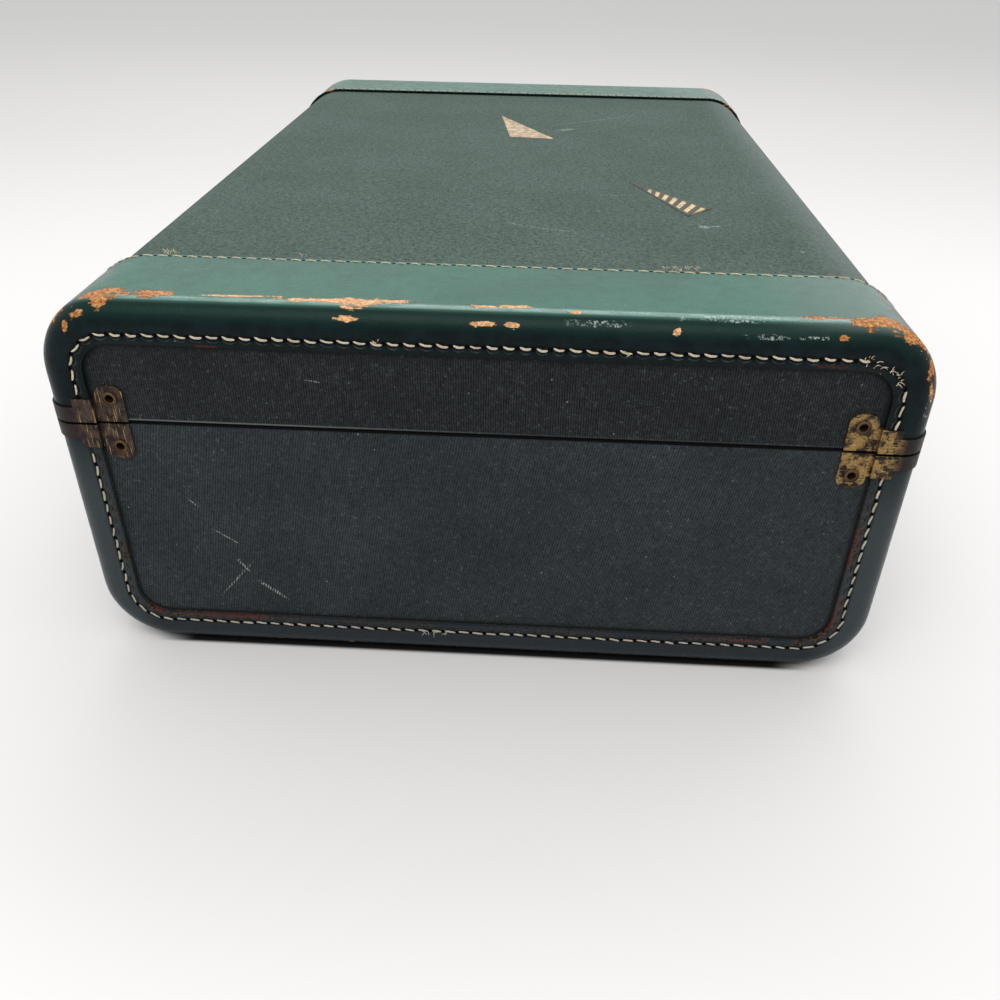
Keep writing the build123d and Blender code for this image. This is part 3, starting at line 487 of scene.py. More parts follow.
def twill_canvas(name, colours, lid_shade, rib_contrast, speckle, ribs, scratches):
    """Cotton twill, piece dyed, glued to the board and sized.

    Steep ribs with a broken cross thread, a fuzz that pales it in specks, a top painted paler as
    lit and walls painted darker as shaded, and threads burst white where it is scratched. The ribs
    are 1.05 mm apart, a little coarser than the cloth's own, so that they show. Ribs are the ways
    across them on body and lid, lid_shade is the lid's brightness beside the body's, and speckle
    the strength of the fuzz.
    """
    material, add, place = start_material(name)
    rib_pitch = 1.05
    wall, wall_pale, top, top_pale = colours
    height_z = add("SeparateXYZ", place, output="Z")
    side = add("SeparateXYZ", place, output="X")
    on_lid = add("Math GREATER_THAN", height_z, PARTING / MM)
    way = add("Mix VECTOR", on_lid, ribs[0], ribs[1])
    across = add("VectorMath DOT_PRODUCT", shaken(add, place, 14.0, 0.5), way)
    rib = add("Math SINE", add("Math MULTIPLY", across, 2 * math.pi / rib_pitch))
    slub = add("TexNoise", place, 1 / 1.1, Detail=3.0, Roughness=0.8)
    fleck = add("TexNoise", place, 1 / 2.4, Detail=5.0, Roughness=0.85)
    cloud = add("TexNoise", place, 1 / 50, Detail=7.0, Roughness=0.6)
    # Painted light and shade: the cloth is painted paler where it faces up and darker on the walls
    painted_top_light = add("MapRange", facing_up(add), 0.45, 0.97)
    pale_cloth = add("Mix", painted_top_light, wall_pale, top_pale)
    cloth = layered(add, add("Mix", painted_top_light, wall, top), (cloud, 0.35, 0.65, 1, pale_cloth))
    shade = add("Math MULTIPLY_ADD", on_lid, lid_shade - 1.0, 1.0)
    weave = add("Math MULTIPLY_ADD", rib, rib_contrast, shade)
    grit = add("Math SUBTRACT", add("Math ADD", slub, fleck), 1.0)
    weave = add("Math MULTIPLY_ADD", grit, speckle, weave)
    cloth = add("VectorMath SCALE", cloth, weave)
    cloth = add("VectorMath MAXIMUM", cloth, (0.002, 0.002, 0.002))
    specks = add("TexVoronoi", shaken(add, place, 1.0, 0.5), 1 / 6.5, Randomness=1.0)
    kept = add("MapRange", add("SeparateXYZ", specks.node.outputs["Color"]), 0.8, 0.9)
    specks = add("Math MULTIPLY", add("MapRange", specks, 0.07, 0.03), kept)
    cloth = layered(add, cloth, (grit, 0.17, 0.34, 0.34, "#8f9a97"), (specks, 0, 1, 0.4, "#aab4b1"))
    to_right = add("MapRange", side, 140.0, 174.0, 0, 0.45)
    to_right = add("Math MULTIPLY", to_right, add("MapRange", facing_up(add), 0.25, 0.75))
    cloth = add("Mix", to_right, cloth, "#868f8b")
    scratched = add("MapRange", marks(add, shaken(add, place, 3.0, 0.4), scratches), 1.15, 0.5)
    threads = add("MapRange", add("Math MULTIPLY_ADD", rib, 0.12, slub), 0.42, 0.62, 0, 0.5)
    cloth = add("Mix", add("Math MULTIPLY", scratched, threads), cloth, "#c9cfcb")

    # Dirt and painted shadow against the leather's cut edge, and a pale line painted as a highlight
    # along the lid's folded lower edge at the parting
    by_face = add("MapRange", inside_window(add, place), 2.6, 0.2, 0, 0.8)
    by_face = add("Math MULTIPLY", by_face, add("MapRange", under_case(add, place)[1], 6.0, 3.0))
    cloth = add("Mix", by_face, cloth, "#040505")
    over = add("Math SUBTRACT", height_z, LID_EDGE / MM)
    parting_highlight = add("Math MULTIPLY", add("MapRange", over, 0.9, 0.3, 0, 0.5), on_lid)
    parting_highlight = add("Math MULTIPLY", parting_highlight, add("MapRange", side, -90.0, 30.0, 1.0, 0.15))
    cloth = add("Mix", parting_highlight, cloth, "#7d8a86")

    bump = add("Bump", Height=add("Math MULTIPLY", weave, 0.12), Strength=0.8, Distance=MM)
    fuzz = {"Specular_IOR_Level": 0.2, "Sheen_Weight": 0.12, "Sheen_Roughness": 0.4, "Sheen_Tint": "#b8c6c0"}
    add("OutputMaterial", add("BsdfPrincipled", Base_Color=cloth, Roughness=0.75, Normal=bump, **fuzz))
    return material


def aged_brass(name, metals, at_corner):
    """Cartridge brass sheet, stamped and once lacquered.

    It has gone brown where the lacquer wore off, more to the left than to the right and more on
    the corners than on the tabs, with black pits, and rubbing has cut back to bright metal in
    lines: steep ones on the left, slanting ones on the right. At_corner is the share of this
    brightness that is left on the case's corners.
    """
    material, add, place = start_material(name)
    dark_left, bright_left, dark_right, bright_right = metals
    cloud = add("TexNoise", place, 1 / 4, Detail=7.0, Roughness=0.65)
    pits = add("TexNoise", place, 1 / 0.8, Detail=3.0, Roughness=0.7)
    right = add("MapRange", add("SeparateXYZ", place, output="X"), -60.0, 60.0)
    steep = add("Mapping", place, Rotation=(0, 0.12, 0), Scale=(2.6, 1.0, 0.1))
    slanting = add("Mapping", place, Rotation=(0, -0.6, 0), Scale=(0.14, 1.0, 2.6))
    lines = add("TexNoise", add("Mix VECTOR", right, steep, slanting), 0.9, Detail=4.0, Roughness=0.6)
    from_outline = add("Math ABSOLUTE", under_case(add, place)[0])
    on_tab = add("MapRange", from_outline, 8.0, 15.0, at_corner, 1.0)
    worn = add("Math MULTIPLY", add("MapRange", cloud, 0.42, 0.56), on_tab)
    low = add("Mix", right, dark_left, dark_right)
    high = add("Mix", right, bright_left, bright_right)
    metal = layered(add, add("Mix", worn, low, high), (pits, 0.52, 0.62, 0.8, "#17110d"))
    brightened = add("Math MULTIPLY", add("MapRange", lines, 0.6, 0.66, 0, 0.8), on_tab)
    metal = add("Mix", brightened, metal, "#cfae6a")
    metallic = add("MapRange", pits, 0.68, 0.54, 0.3, 0.85)
    rough = add("MapRange", cloud, 0.3, 0.7, 0.58, 0.4)
    height = add("Math MULTIPLY_ADD", lines, 0.05, add("Math MULTIPLY", pits, -0.1))
    bump = add("Bump", Height=height, Strength=0.8, Distance=MM)
    surface = {"Metallic": metallic, "Roughness": rough, "Normal": bump}
    add("OutputMaterial", add("BsdfPrincipled", Base_Color=metal, **surface))
    return material


def rivet_brass():
    """Tubular brass rivets, browned in the hollow, a little brighter on the rim."""
    material, add, place = start_material("rivet_brass")
    offset = add("VectorMath SUBTRACT", place, (MIDDLE_X / MM, 0, 0))
    parts = add("SeparateXYZ", add("VectorMath ABSOLUTE", offset)).node
    out_x = add("Math SUBTRACT", parts.outputs[0], (RIGHT - MIDDLE_X) / MM)
    out_y = add("Math SUBTRACT", parts.outputs[1], FAR / MM - LEATHER_THICKNESS / MM)
    rim = add("MapRange", add("Math MAXIMUM", out_x, out_y), 1.2, 1.5)
    grain = add("TexNoise", place, 1 / 0.8, Detail=4.0)
    rim = add("Math MULTIPLY", rim, add("MapRange", grain, 0.3, 0.6, 0.2, 0.8))
    metal = add("Mix", rim, "#5e4836", "#5f4c35")
    rough = add("MapRange", grain, 0.3, 0.7, 0.4, 0.6)
    add("OutputMaterial", add("BsdfPrincipled", Base_Color=metal, Metallic=0.8, Roughness=rough))
    return material


def birch_plywood():
    """Three-ply birch, rotary cut, the grain of its outer plies along the case, oiled by age.

    Its rims by the parting are coloured black-brown as painted shade, so the gap between the halves looks
    dark.
    """
    material, add, place = start_material("birch_plywood")
    stretched = add("Mapping", place, Scale=(1.0, 0.06, 1.0))
    grain = add("TexNoise", stretched, 1 / 2.2, Detail=6.0, Distortion=0.6)
    under_outline, under_end = under_case(add, place)
    ply = add("Math PINGPONG", add("Math SUBTRACT", under_outline, 4.0), 1.3)
    depth = add("Math MINIMUM", under_outline, under_end)
    wood = layered(
        add,
        "#a8814f",
        (grain, 0.35, 0.65, 1, "#c9a673"),
        (ply, 0.5, 0.15, 0.6, "#6e4a28"),
        # Painted shade: board faces within about 10 mm of the case's outside turn black-brown for the dark
        # gap
        (depth, 10.2, 9.2, 1, "#050403"),
    )
    bump = add("Bump", Height=grain, Strength=0.3, Distance=0.2 * MM)
    surface = {"Roughness": 0.75, "Specular_IOR_Level": 0.15, "Normal": bump}
    add("OutputMaterial", add("BsdfPrincipled", Base_Color=wood, **surface))
    return material


def rayon_lining(settings):
    """Rayon twill lining with a woven stripe, pasted to the boards, slightly silky."""
    material, add, place = start_material("rayon_lining")
    along = add("VectorMath DOT_PRODUCT", place, (1, 0, 0.6))
    stripe = add("Math SINE", add("Math MULTIPLY", along, 2 * math.pi / 9.0))
    weave = add("TexNoise", place, 1 / 0.6, Detail=3.0)
    stain = add("TexNoise", place, 1 / 80, Detail=5.0)
    cloth = layered(
        add,
        settings.lining,
        (stripe, 0.2, 0.8, 0.5, "#a8987a"),
        (stain, 0.5, 0.75, 0.45, "#6d5a3f"),
        (weave, 0.55, 0.75, 0.35, "#5f5140"),
    )
    bump = add("Bump", Height=weave, Strength=0.4, Distance=0.3 * MM)
    surface = {"Roughness": 0.55, "Sheen_Weight": 0.3, "Normal": bump}
    add("OutputMaterial", add("BsdfPrincipled", Base_Color=cloth, **surface))
    return material


def drawn_steel():
    """Drawn steel wire for the pins, greyed, with fine marks along it."""
    material, add, place = start_material("drawn_steel")
    marks_along = add("Mapping", place, Scale=(1.0, 0.05, 1.0))
    grain = add("TexNoise", marks_along, 1 / 0.4, Detail=3.0)
    metal = add("Mix", grain, "#6d6a66", "#a7a39c")
    rough = add("MapRange", grain, 0.3, 0.7, 0.3, 0.5)
    add("OutputMaterial", add("BsdfPrincipled", Base_Color=metal, Metallic=1.0, Roughness=rough))
    return material


def waxed_thread(settings):
    """Three-ply linen thread, waxed, soiled in its hollows and greyer low down."""
    material, add, place = start_material("waxed_thread")
    soil = add("TexNoise", place, 1 / 7, Detail=4.0)
    ply = add("TexNoise", place, 1 / 0.5, Detail=2.0)
    cord = layered(
        add,
        settings.thread,
        (soil, 0.45, 0.75, 0.55, "#8d7f68"),
        (ply, 0.5, 0.7, 0.35, "#7a6a52"),
        (add("SeparateXYZ", place, output="Z"), 125, 60, 0.45, "#82807c"),
    )
    bump = add("Bump", Height=ply, Strength=0.6, Distance=0.2 * MM)
    add("OutputMaterial", add("BsdfPrincipled", Base_Color=cord, Roughness=0.7, Normal=bump))
    return material


def seam_leather():
    """The bindings' leather drawn up beside the seam, rubbed grey on its crests."""
    material, add, place = start_material("seam_leather")
    grain = add("TexNoise", place, 1 / 2.5, Detail=5.0)
    paint = layered(add, "#0c1416", (grain, 0.4, 0.65, 1, "#2a3436"))
    add("OutputMaterial", add("BsdfPrincipled", Base_Color=paint, Roughness=0.5, Specular_IOR_Level=0.25))
    return material


def needle_hole_shade():
    """A dark disc colour painted as the shade inside an awl hole in leather."""
    material, add, place = start_material("needle_hole_shade")
    dark = add("Mix", add("TexNoise", place, 1 / 0.6, Detail=2.0), "#030303", "#0c0b0a")
    add("OutputMaterial", add("BsdfPrincipled", Base_Color=dark, Roughness=0.95, Specular_IOR_Level=0.05))
    return material


def paper_sticker(name, ground, printed, bars, wear):
    """Printed paper pennant, varnished, with plain slanted bars, rubbed through in places."""
    material, add, place = start_material(name)
    parts = add("SeparateXYZ", add("UVMap", output="UV", uv_map="UVMap")).node
    along, across = parts.outputs[0], parts.outputs[1]
    slanted = add("Math MULTIPLY_ADD", across, 0.1, along)
    wave = add("Math SINE", add("Math MULTIPLY", slanted, bars * math.pi * 2))
    from_axis = add("Math ABSOLUTE", add("Math SUBTRACT", across, 0.5))
    bar = add("Math MULTIPLY", add("MapRange", wave, -0.1, 0.3), add("MapRange", from_axis, 0.36, 0.31))
    bar = add("Math MULTIPLY", bar, add("MapRange", along, 0.26, 0.32))
    edge = add("MapRange", from_axis, 0.42, 0.47)
    edge = add("Math MAXIMUM", edge, add("MapRange", along, 0.3, 0.22))
    edge = add("Math MAXIMUM", edge, add("MapRange", along, 0.955, 0.98))
    blotch = add("TexNoise", place, 1 / 5, Detail=7.0, Roughness=0.7)
    paper = add("Mix", bar, ground, printed)
    paper = add("Mix", add("Math MULTIPLY", edge, 0.8), paper, wear[0])
    paper = layered(add, paper, (blotch, 0.52, 0.6, 0.6, wear[1]), (blotch, 0.47, 0.41, 0.7, wear[2]))
    bump = add("Bump", Height=blotch, Strength=0.3, Distance=0.2 * MM)
    add("OutputMaterial", add("BsdfPrincipled", Base_Color=paper, Roughness=0.6, Normal=bump))
    return material


def handle_leather(settings):
    """The bindings' painted cowhide on the handle, darkened and polished by hands."""
    material, add, place = start_material("handle_leather")
    cloud = add("TexNoise", place, 1 / 18, Detail=5.0)
    pebble = add("TexVoronoi", place, 1 / 1.1)
    chips = add("TexNoise", place, 1 / 6, Detail=9.0, Roughness=0.7)
    lit = add("MapRange", cloud, 0.35, 0.7, 0.1, 0.45)
    paint = add("Mix", lit, settings.leather_painted_shade, settings.leather)
    bare = add("MapRange", chips, 0.68, 0.71)
    skin = add("Mix", bare, paint, settings.raw_leather)
    height = add("Math MULTIPLY_ADD", bare, -0.2, add("Math MULTIPLY", pebble, 0.1))
    bump = add("Bump", Height=height, Strength=0.9, Distance=MM)
    rough = add("MapRange", cloud, 0.3, 0.7, 0.28, 0.45)
    add("OutputMaterial", add("BsdfPrincipled", Base_Color=skin, Roughness=rough, Normal=bump))
    return material


def studio_floor():
    """Matt white studio paper, greyer far off as painted shade for the light falling off, and dark as a
    painted contact shadow where the case's flat bottom rests on it.
    """
    material, add, place = start_material("studio_floor")
    cloud = add("TexNoise", place, 1 / 400, Detail=3.0)
    paper = add("Mix", cloud, "#ece9e7", "#f0edeb")
    # Painted shade: the paper greys with distance behind the case, standing in for the light falling off
    paper = layered(add, paper, (add("SeparateXYZ", place, output="Y"), 0, 900, 0.65, "#d3d1ce"))
    # Painted contact shadow on the floor under the case's flat bottom
    painted_contact_shadow = add("MapRange", under_case(add, place)[1], 0.5, 3.0)
    painted_contact_shadow = add("Math MULTIPLY", painted_contact_shadow, add("MapRange", from_middle(add, place), 160.0, 138.0))
    paper = add("Mix", painted_contact_shadow, paper, "#1c1b1c")
    add("OutputMaterial", add("BsdfPrincipled", Base_Color=paper, Roughness=0.85, Specular_IOR_Level=0.2))
    return material


def finish_nodes(names, material):
    """Give CAD nodes one material."""
    for name in names:
        mesh = NODES[name].data
        mesh.materials.clear()
        mesh.materials.append(material)


def named(*words):
    """Names of the CAD nodes that hold every one of the words."""
    return [name for name in NODES if all(word in name for word in words)]


def new_piece(name, points, faces, materials, body, picks=None):
    """A smooth mesh piece from points and faces, riding on a body."""
    mesh = bpy.data.meshes.new(name)
    mesh.from_pydata(points.tolist(), [], faces)
    mesh.polygons.foreach_set("use_smooth", np.ones(len(faces), bool))
    if picks is not None:
        mesh.polygons.foreach_set("material_index", picks)
    for material in materials:
        mesh.materials.append(material)
    mesh.validate()
    piece = bpy.data.objects.new(name, mesh)
    bpy.context.scene.collection.objects.link(piece)
    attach(piece, body)
    return piece


def grid_faces(rows, columns, closed):
    """Quads of a grid of points, row by row, the columns joined round if closed."""
    steps = columns if closed else columns - 1
    row, column = np.meshgrid(np.arange(rows - 1), np.arange(steps), indexing="ij")
    following = (column + 1) % columns
    corners = (row * columns + column, row * columns + following)
    corners += ((row + 1) * columns + following, (row + 1) * columns + column)
    return np.stack(corners, -1).reshape(-1, 4)


def unit(vectors):
    """Vectors brought to length one."""
    return vectors / np.linalg.norm(vectors, axis=1, keepdims=True)


def section_outline(low, high, radius, spacing):
    """Places, headings and outward directions, spacing apart, round a rounded rectangle.

    The outline is four quarter arcs joined by straight sides. It is measured along its length
    and read off at equal steps, and outward is the heading turned a quarter turn clockwise.
    """
    centre = (np.array(low) + np.array(high)) / 2
    reach = (np.array(high) - np.array(low)) / 2 - radius
    quarter = np.arange(4)[:, None]
    angle = np.linspace(0, np.pi / 2, 31) + quarter * np.pi / 2
    x = centre[0] + np.array([1, -1, -1, 1])[:, None] * reach[0] + radius * np.cos(angle)
    z = centre[1] + np.array([1, 1, -1, -1])[:, None] * reach[1] + radius * np.sin(angle)
    path = np.stack([x.ravel(), z.ravel()], 1)
    path = np.vstack([path, path[:1]])
    run = np.concatenate([[0], np.cumsum(np.linalg.norm(np.diff(path, axis=0), axis=1))])
    count = round(run[-1] / spacing)
    along = (np.arange(count) + 0.5) * run[-1] / count

    def read(distance):
        distance = distance % run[-1]
        return np.stack([np.interp(distance, run, path[:, axis]) for axis in (0, 1)], 1)

    heading = unit(read(along + MM) - read(along - MM))
    return read(along), heading, np.stack([heading[:, 1], -heading[:, 0]], 1)


def in_space(pairs, y):
    """Points or directions of the XZ section set at y in space."""
    return np.stack([pairs[:, 0], np.full(len(pairs), y), pairs[:, 1]], 1)


def tube_form(along, across, rise, size, columns, plies=0.0):
    """A closed round tube along X: its middle line and radius are given at each place along.

    The radius is size, with three plies that swell it by the cosine of three times the angle
    less a turn along.
    """
    angle = np.linspace(0, 2 * np.pi, columns, endpoint=False)[None, :]
    along, across, rise, size = [values[:, None] for values in (along, across, rise, size)]
    swollen = size * (1 + plies * np.cos(3 * angle - 14 * along))
    across = across + swollen * np.cos(angle)
    rise = rise + swollen * np.sin(angle)
    points = np.stack(np.broadcast_arrays(along, across, rise), -1)
    rows = len(along)
    faces = grid_faces(rows, columns, True).tolist()
    faces.append(list(range(columns)))
    faces.append(list(range(rows * columns - 1, (rows - 1) * columns - 1, -1)))
    return points.reshape(-1, 3), faces


def stitch_form():
    """One stitch of unit length and thickness: a plied thread bowed sideways over a low arch.

    The arch rises by one less along squared, along running from -1 to 1, and the thread thins
    to half where it dives into its holes.
    """
    along = np.linspace(-1, 1, 9)
    arch = 1 - along**2
    radius = 0.5 * np.sqrt(1 - 0.75 * along**4)
    return tube_form(along / 2, 0.42 * arch - 0.2, 0.6 * arch - 0.3, radius, 8, 0.12)


def hole_form():
    """A flat eight-sided disc of unit width."""
    angle = np.linspace(0, 2 * np.pi, 8, endpoint=False)
    points = np.stack([np.cos(angle) / 2, np.sin(angle) / 2, 0 * angle], 1)
    return points, [list(range(8))]


def scallop_form():
    """The crescent that a stitch draws up in the leather beside it: a low tube bowed sideways."""
    along = np.linspace(-1, 1, 9)
    bow = 1 - along**2
    return tube_form(along / 2, 1.6 * bow, 0.25 * bow - 0.2, 0.15 + 0.42 * bow, 6)


def strand_form():
    """A loose fibre of unit length, thinning as it curls up by its length squared."""
    along = np.linspace(0, 1, 6)
    return tube_form(along, 0.1 * np.sin(3 * along), 0.3 * along**2, 0.09 * (1 - 0.6 * along), 5)


def copies(form, centre, heading, normal, size):
    """One form repeated: its X along each heading, its Z along each normal, scaled by each size."""
    points, faces = form
    side = np.cross(normal, heading)
    axes = np.stack([heading, side, normal], 1)
    scaled = points[None] * size[:, None, :]
    placed = np.einsum("npa,nak->npk", scaled, axes) + centre[:, None]
    count = len(points)
    repeated = [[index + copy * count for index in face] for copy in range(len(centre)) for face in faces]
    return placed.reshape(-1, 3), repeated


def seam_row(name, body, row, seams, fineness, chance, materials):
    """A row of uneven slanted stitches, with a dark disc between each two as the painted shade of a needle
    slit.

    The row is its places, headings and normals. Fineness scales the thread. With a third
    material the leather is drawn up in a crescent on the side that the stitches bow to.
    """
    places, headings, normals = row
    count = len(places)
    sideways = np.cross(normals, headings)
    turn = seams.slant + chance.normal(0, 0.05, count)
    leaning = headings * np.cos(turn)[:, None] + sideways * np.sin(turn)[:, None]
    across = seams.thickness * fineness * chance.uniform(0.85, 1.15, count)
    long = seams.stitch * chance.uniform(0.86, 1.08, count)
    size = np.stack([long, across, 0.8 * across], 1)
    wander = chance.normal(0, 0.12 * MM, count)[:, None] * sideways
    parts = [copies(stitch_form(), places + wander, leaning, normals, size)]
    # Painted shade: a flat dark disc at each needle slit stands in for the shade inside the hole
    slit = np.tile([2.1 * MM, 1.6 * MM * fineness, 0], (count, 1))
    slit_places = places + headings * seams.pitch / 2 + normals * 0.04 * MM
    parts.append(copies(hole_form(), slit_places, leaning, normals, slit))
    if len(materials) > 2:
        crescent = np.stack([1.15 * long, 0 * long + 0.75 * MM, 0 * long + 0.75 * MM], 1)
        parts.append(copies(scallop_form(), places + sideways * 1.0 * MM, leaning, normals, crescent))
    return joined_piece(name, body, parts, materials)


def joined_piece(name, body, parts, materials):
    """One piece of several parts, each with its own material."""
    points, faces, picks = [], [], []
    for number, (part_points, part_faces) in enumerate(parts):
        start = sum(len(block) for block in points)
        faces += [[index + start for index in face] for face in part_faces]
        picks += [number] * len(part_faces)
        points.append(part_points)
    return new_piece(name, np.vstack(points), faces, materials, body, picks)


def fray_tufts(name, body, centres, normal, chance, material):
    """Loose thread ends: a tuft of curling fibres at each centre, lying off the surface."""
    strands = 6
    centres = np.repeat(np.array(centres) * MM, strands, 0)
    count = len(centres)
    angle = chance.uniform(0, 2 * np.pi, count)
    normals = np.tile(np.array(normal, float), (count, 1))
    first = unit(np.cross(normals, np.array([0.3, 0.5, 0.8])))
    second = np.cross(normals, first)
    headings = first * np.cos(angle)[:, None] + second * np.sin(angle)[:, None]
    reach = chance.uniform(0.9, 2.2, count) * MM
    size = np.stack([reach, 0 * reach + 2.6 * MM, 0 * reach + 2.6 * MM], 1)
    spread = chance.normal(0, 0.5 * MM, (count, 3))
    tuft = copies(strand_form(), centres + spread, headings, normals, size)
    return joined_piece(name, body, [tuft], [material])


def panel_sheet(corners, rows, columns, bulge):
    """A thin three-cornered sheet: u runs from its point to its back, v across its back.

    A place is the point plus u times the way to the back, where the back runs from one corner
    to the other with v, and bulge lifts it by u (1 - u) v (1 - v).
    """
    tip, first, second = [np.array(corner, float) for corner in corners]
    u, v = np.meshgrid(np.linspace(0.02, 1, rows), np.linspace(0, 1, columns), indexing="ij")
    back = first + v[..., None] * (second - first)
    points = tip + u[..., None] * (back - tip)
    points[..., 2] += bulge * u * (1 - u) * v * (1 - v)
    return points.reshape(-1, 3), grid_faces(rows, columns, False), np.stack([u, v], -1).reshape(-1, 2)


class SUITCASE_OT_canvas(bpy.types.Operator):
    """Cover the wrap and the end panels with twill"""

    bl_idname = "suitcase.canvas"
    bl_label = "Canvas"

    def execute(self, context):
        # The wrap's two wall colours are darker and its two top colours paler: painted shade and painted
        # light on one cloth
        wrap_colours = ("#1e2326", "#262b2e", "#44544c", "#495a52")
        end_colours = ("#252b2e", "#2d3235", "#252b2e", "#2d3235")
        wrap = twill_canvas(
            "twill_canvas_wrap",
            wrap_colours,
            lid_shade=1.0,
            rib_contrast=0.1,
            speckle=3.2,
            ribs=((0.72, 0.69, 0.4), (0.72, 0.69, 0.4)),
            scratches=TOP_SCRATCHES,
        )
        end = twill_canvas(
            "twill_canvas_end",
            end_colours,
            lid_shade=0.5,
            rib_contrast=0.4,
            speckle=2.3,
            ribs=((0.93, 0, -0.18), (1.05, 0, 0)),
            scratches=END_SCRATCHES,
        )
        finish_nodes(named("canvas_wrap"), wrap)
        finish_nodes(named("end_canvas"), end)
        return {"FINISHED"}


class SUITCASE_OT_bindings(bpy.types.Operator):
    """Give the leather bindings their worn paint"""

    bl_idname = "suitcase.bindings"
    bl_label = "Leather bindings"

    def execute(self, context):
        material = painted_leather(context.scene.suitcase_finish)
        finish_nodes(named("_binding"), material)
        return {"FINISHED"}


class SUITCASE_OT_seams(bpy.types.Operator):
    """Sew the bindings on: one row on each end face and one along each wrap edge"""

    bl_idname = "suitcase.seams"
    bl_label = "Seams"

    def execute(self, context):
        seams = context.scene.suitcase_seams
        thread = waxed_thread(context.scene.suitcase_finish)
        slit = needle_hole_shade()
        ridge = seam_leather()
        chance = np.random.default_rng(seams.seed)
        grown = SEAM_FROM_WINDOW
        low = (LEFT + WINDOW_INSET - grown, WINDOW_INSET - grown)
        high = (RIGHT - WINDOW_INSET + grown, TOP - WINDOW_TOP_INSET + grown)
        for end, y, away in (("near", NEAR, -1.0), ("far", FAR, 1.0)):
            place, heading, _ = section_outline(low, high, WINDOW_RADIUS + grown, seams.pitch)
            face = (in_space(place, y), in_space(-away * heading, 0.0), in_space(0 * place, away))
            inside = y - away * (BAND_WIDTH - WRAP_SEAM_FROM_CUT)
            place, heading, outward = section_outline((LEFT, 0), (RIGHT, TOP), CORNER_RADIUS, seams.pitch)
            wrap = (in_space(place, inside), in_space(-away * heading, 0.0), in_space(outward, 0.0))
            rows = (
                ("face", face, FACE_SEAM_STOP, 1.0, [thread, slit, ridge]),
                ("wrap", wrap, WRAP_SEAM_STOP, WRAP_SEAM_FINENESS, [thread, slit]),
            )
            for label, row, clear, fineness, materials in rows:
                height = row[0][:, 2]
                frayed = (np.abs(row[0][:, 0] - FRAYED_X) < FRAYED_REACH) & (height > FRAYED_ABOVE)
                whole = ~(frayed & (label == "face") & (end == "near"))
                for body, kept in (("lid", height > PARTING + clear), ("body", height < PARTING - clear)):
                    chosen = [values[kept & whole] for values in row]
                    name = f"{body}_{end}_{label}_stitches"
                    seam_row(name, body, chosen, seams, fineness, chance, materials)
        fray_tufts("lid_near_frayed_thread", "lid", FACE_FRAYS, (0, -1, 0), chance, thread)
        fray_tufts("body_near_frayed_thread", "body", LOW_FRAYS, (0, -1, 0), chance, thread)
        fray_tufts("lid_top_frayed_thread", "lid", TOP_FRAYS, (0, 0, 1), chance, thread)
        return {"FINISHED"}


class SUITCASE_OT_brass(bpy.types.Operator):
    """Tarnish the clips, latches, hinges, brackets, rivets and pins"""

    bl_idname = "suitcase.brass"
    bl_label = "Brass and steel"

    def execute(self, context):
        clips = aged_brass("clip_brass", ("#2e2627", "#4a3c33", "#2a2422", "#94794a"), at_corner=0.0)
        fitting_tones = ("#5a4630", "#8f713e", "#5a4630", "#8f713e")
        fittings = aged_brass("fitting_brass", fitting_tones, at_corner=1.0)
        latches = named("latch_case_") + named("latch_slide") + named("latch_hasp") + named("hasp_plate_")
        finish_nodes(latches + named("hinge_", "_leaf") + named("handle_bracket"), fittings)
        finish_nodes(named("_clip_"), clips)
        finish_nodes(named("rivets"), rivet_brass())
        finish_nodes(named("_pin_"), drawn_steel())
        return {"FINISHED"}


class SUITCASE_OT_inside(bpy.types.Operator):
    """Finish the boards, the locating lip and the lining"""

    bl_idname = "suitcase.inside"
    bl_label = "Boards and lining"

    def execute(self, context):
        finish_nodes(named("board") + named("body_lip"), birch_plywood())
        finish_nodes(named("lining"), rayon_lining(context.scene.suitcase_finish))
        return {"FINISHED"}


class SUITCASE_OT_stickers(bpy.types.Operator):
    """Paste two worn paper pennants on the lid"""

    bl_idname = "suitcase.stickers"
    bl_label = "Stickers"

    def execute(self, context):
        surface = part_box("lid_canvas_wrap")[1].z + PASTE_THICKNESS
        beige = ("#b9a184", "#b9a184", 0, ("#b9a184", "#84685a", "#e6d2ab"))
        barred = ("#46483f", "#dcc48e", 9, ("#3a2c26", "#46483f", "#5c5146"))
        pennants = (
            ("far", ((30.5, 51.5), (1.4, 53.9), (-7.5, 122.7)), beige),
            ("near", ((73, -53), (98.3, -118), (112.4, -102.3)), barred),
        )
        for label, corners, printing in pennants:
            material = paper_sticker(f"paper_pennant_{label}", *printing)
            corners = [(x * MM, y * MM, surface) for x, y in corners]
            points, faces, uv = panel_sheet(corners, rows=24, columns=10, bulge=0.6 * MM)
            piece = new_piece(f"lid_pennant_{label}", points, faces.tolist(), [material], "lid")
            layer = piece.data.uv_layers.new(name="UVMap")
            corner_index = np.zeros(len(piece.data.loops), int)
            piece.data.loops.foreach_get("vertex_index", corner_index)
            layer.data.foreach_set("uv", uv[corner_index].ravel())
            turn_upwards(piece.data)
            thicken = piece.modifiers.new("paper", "SOLIDIFY")
            thicken.thickness = PAPER_THICKNESS
            thicken.offset = 1.0
        return {"FINISHED"}


def turn_upwards(mesh):
    """Flip a sheet whose faces look down."""
    mesh.update()
    if mesh.polygons[0].normal.z < 0:
        mesh.flip_normals()


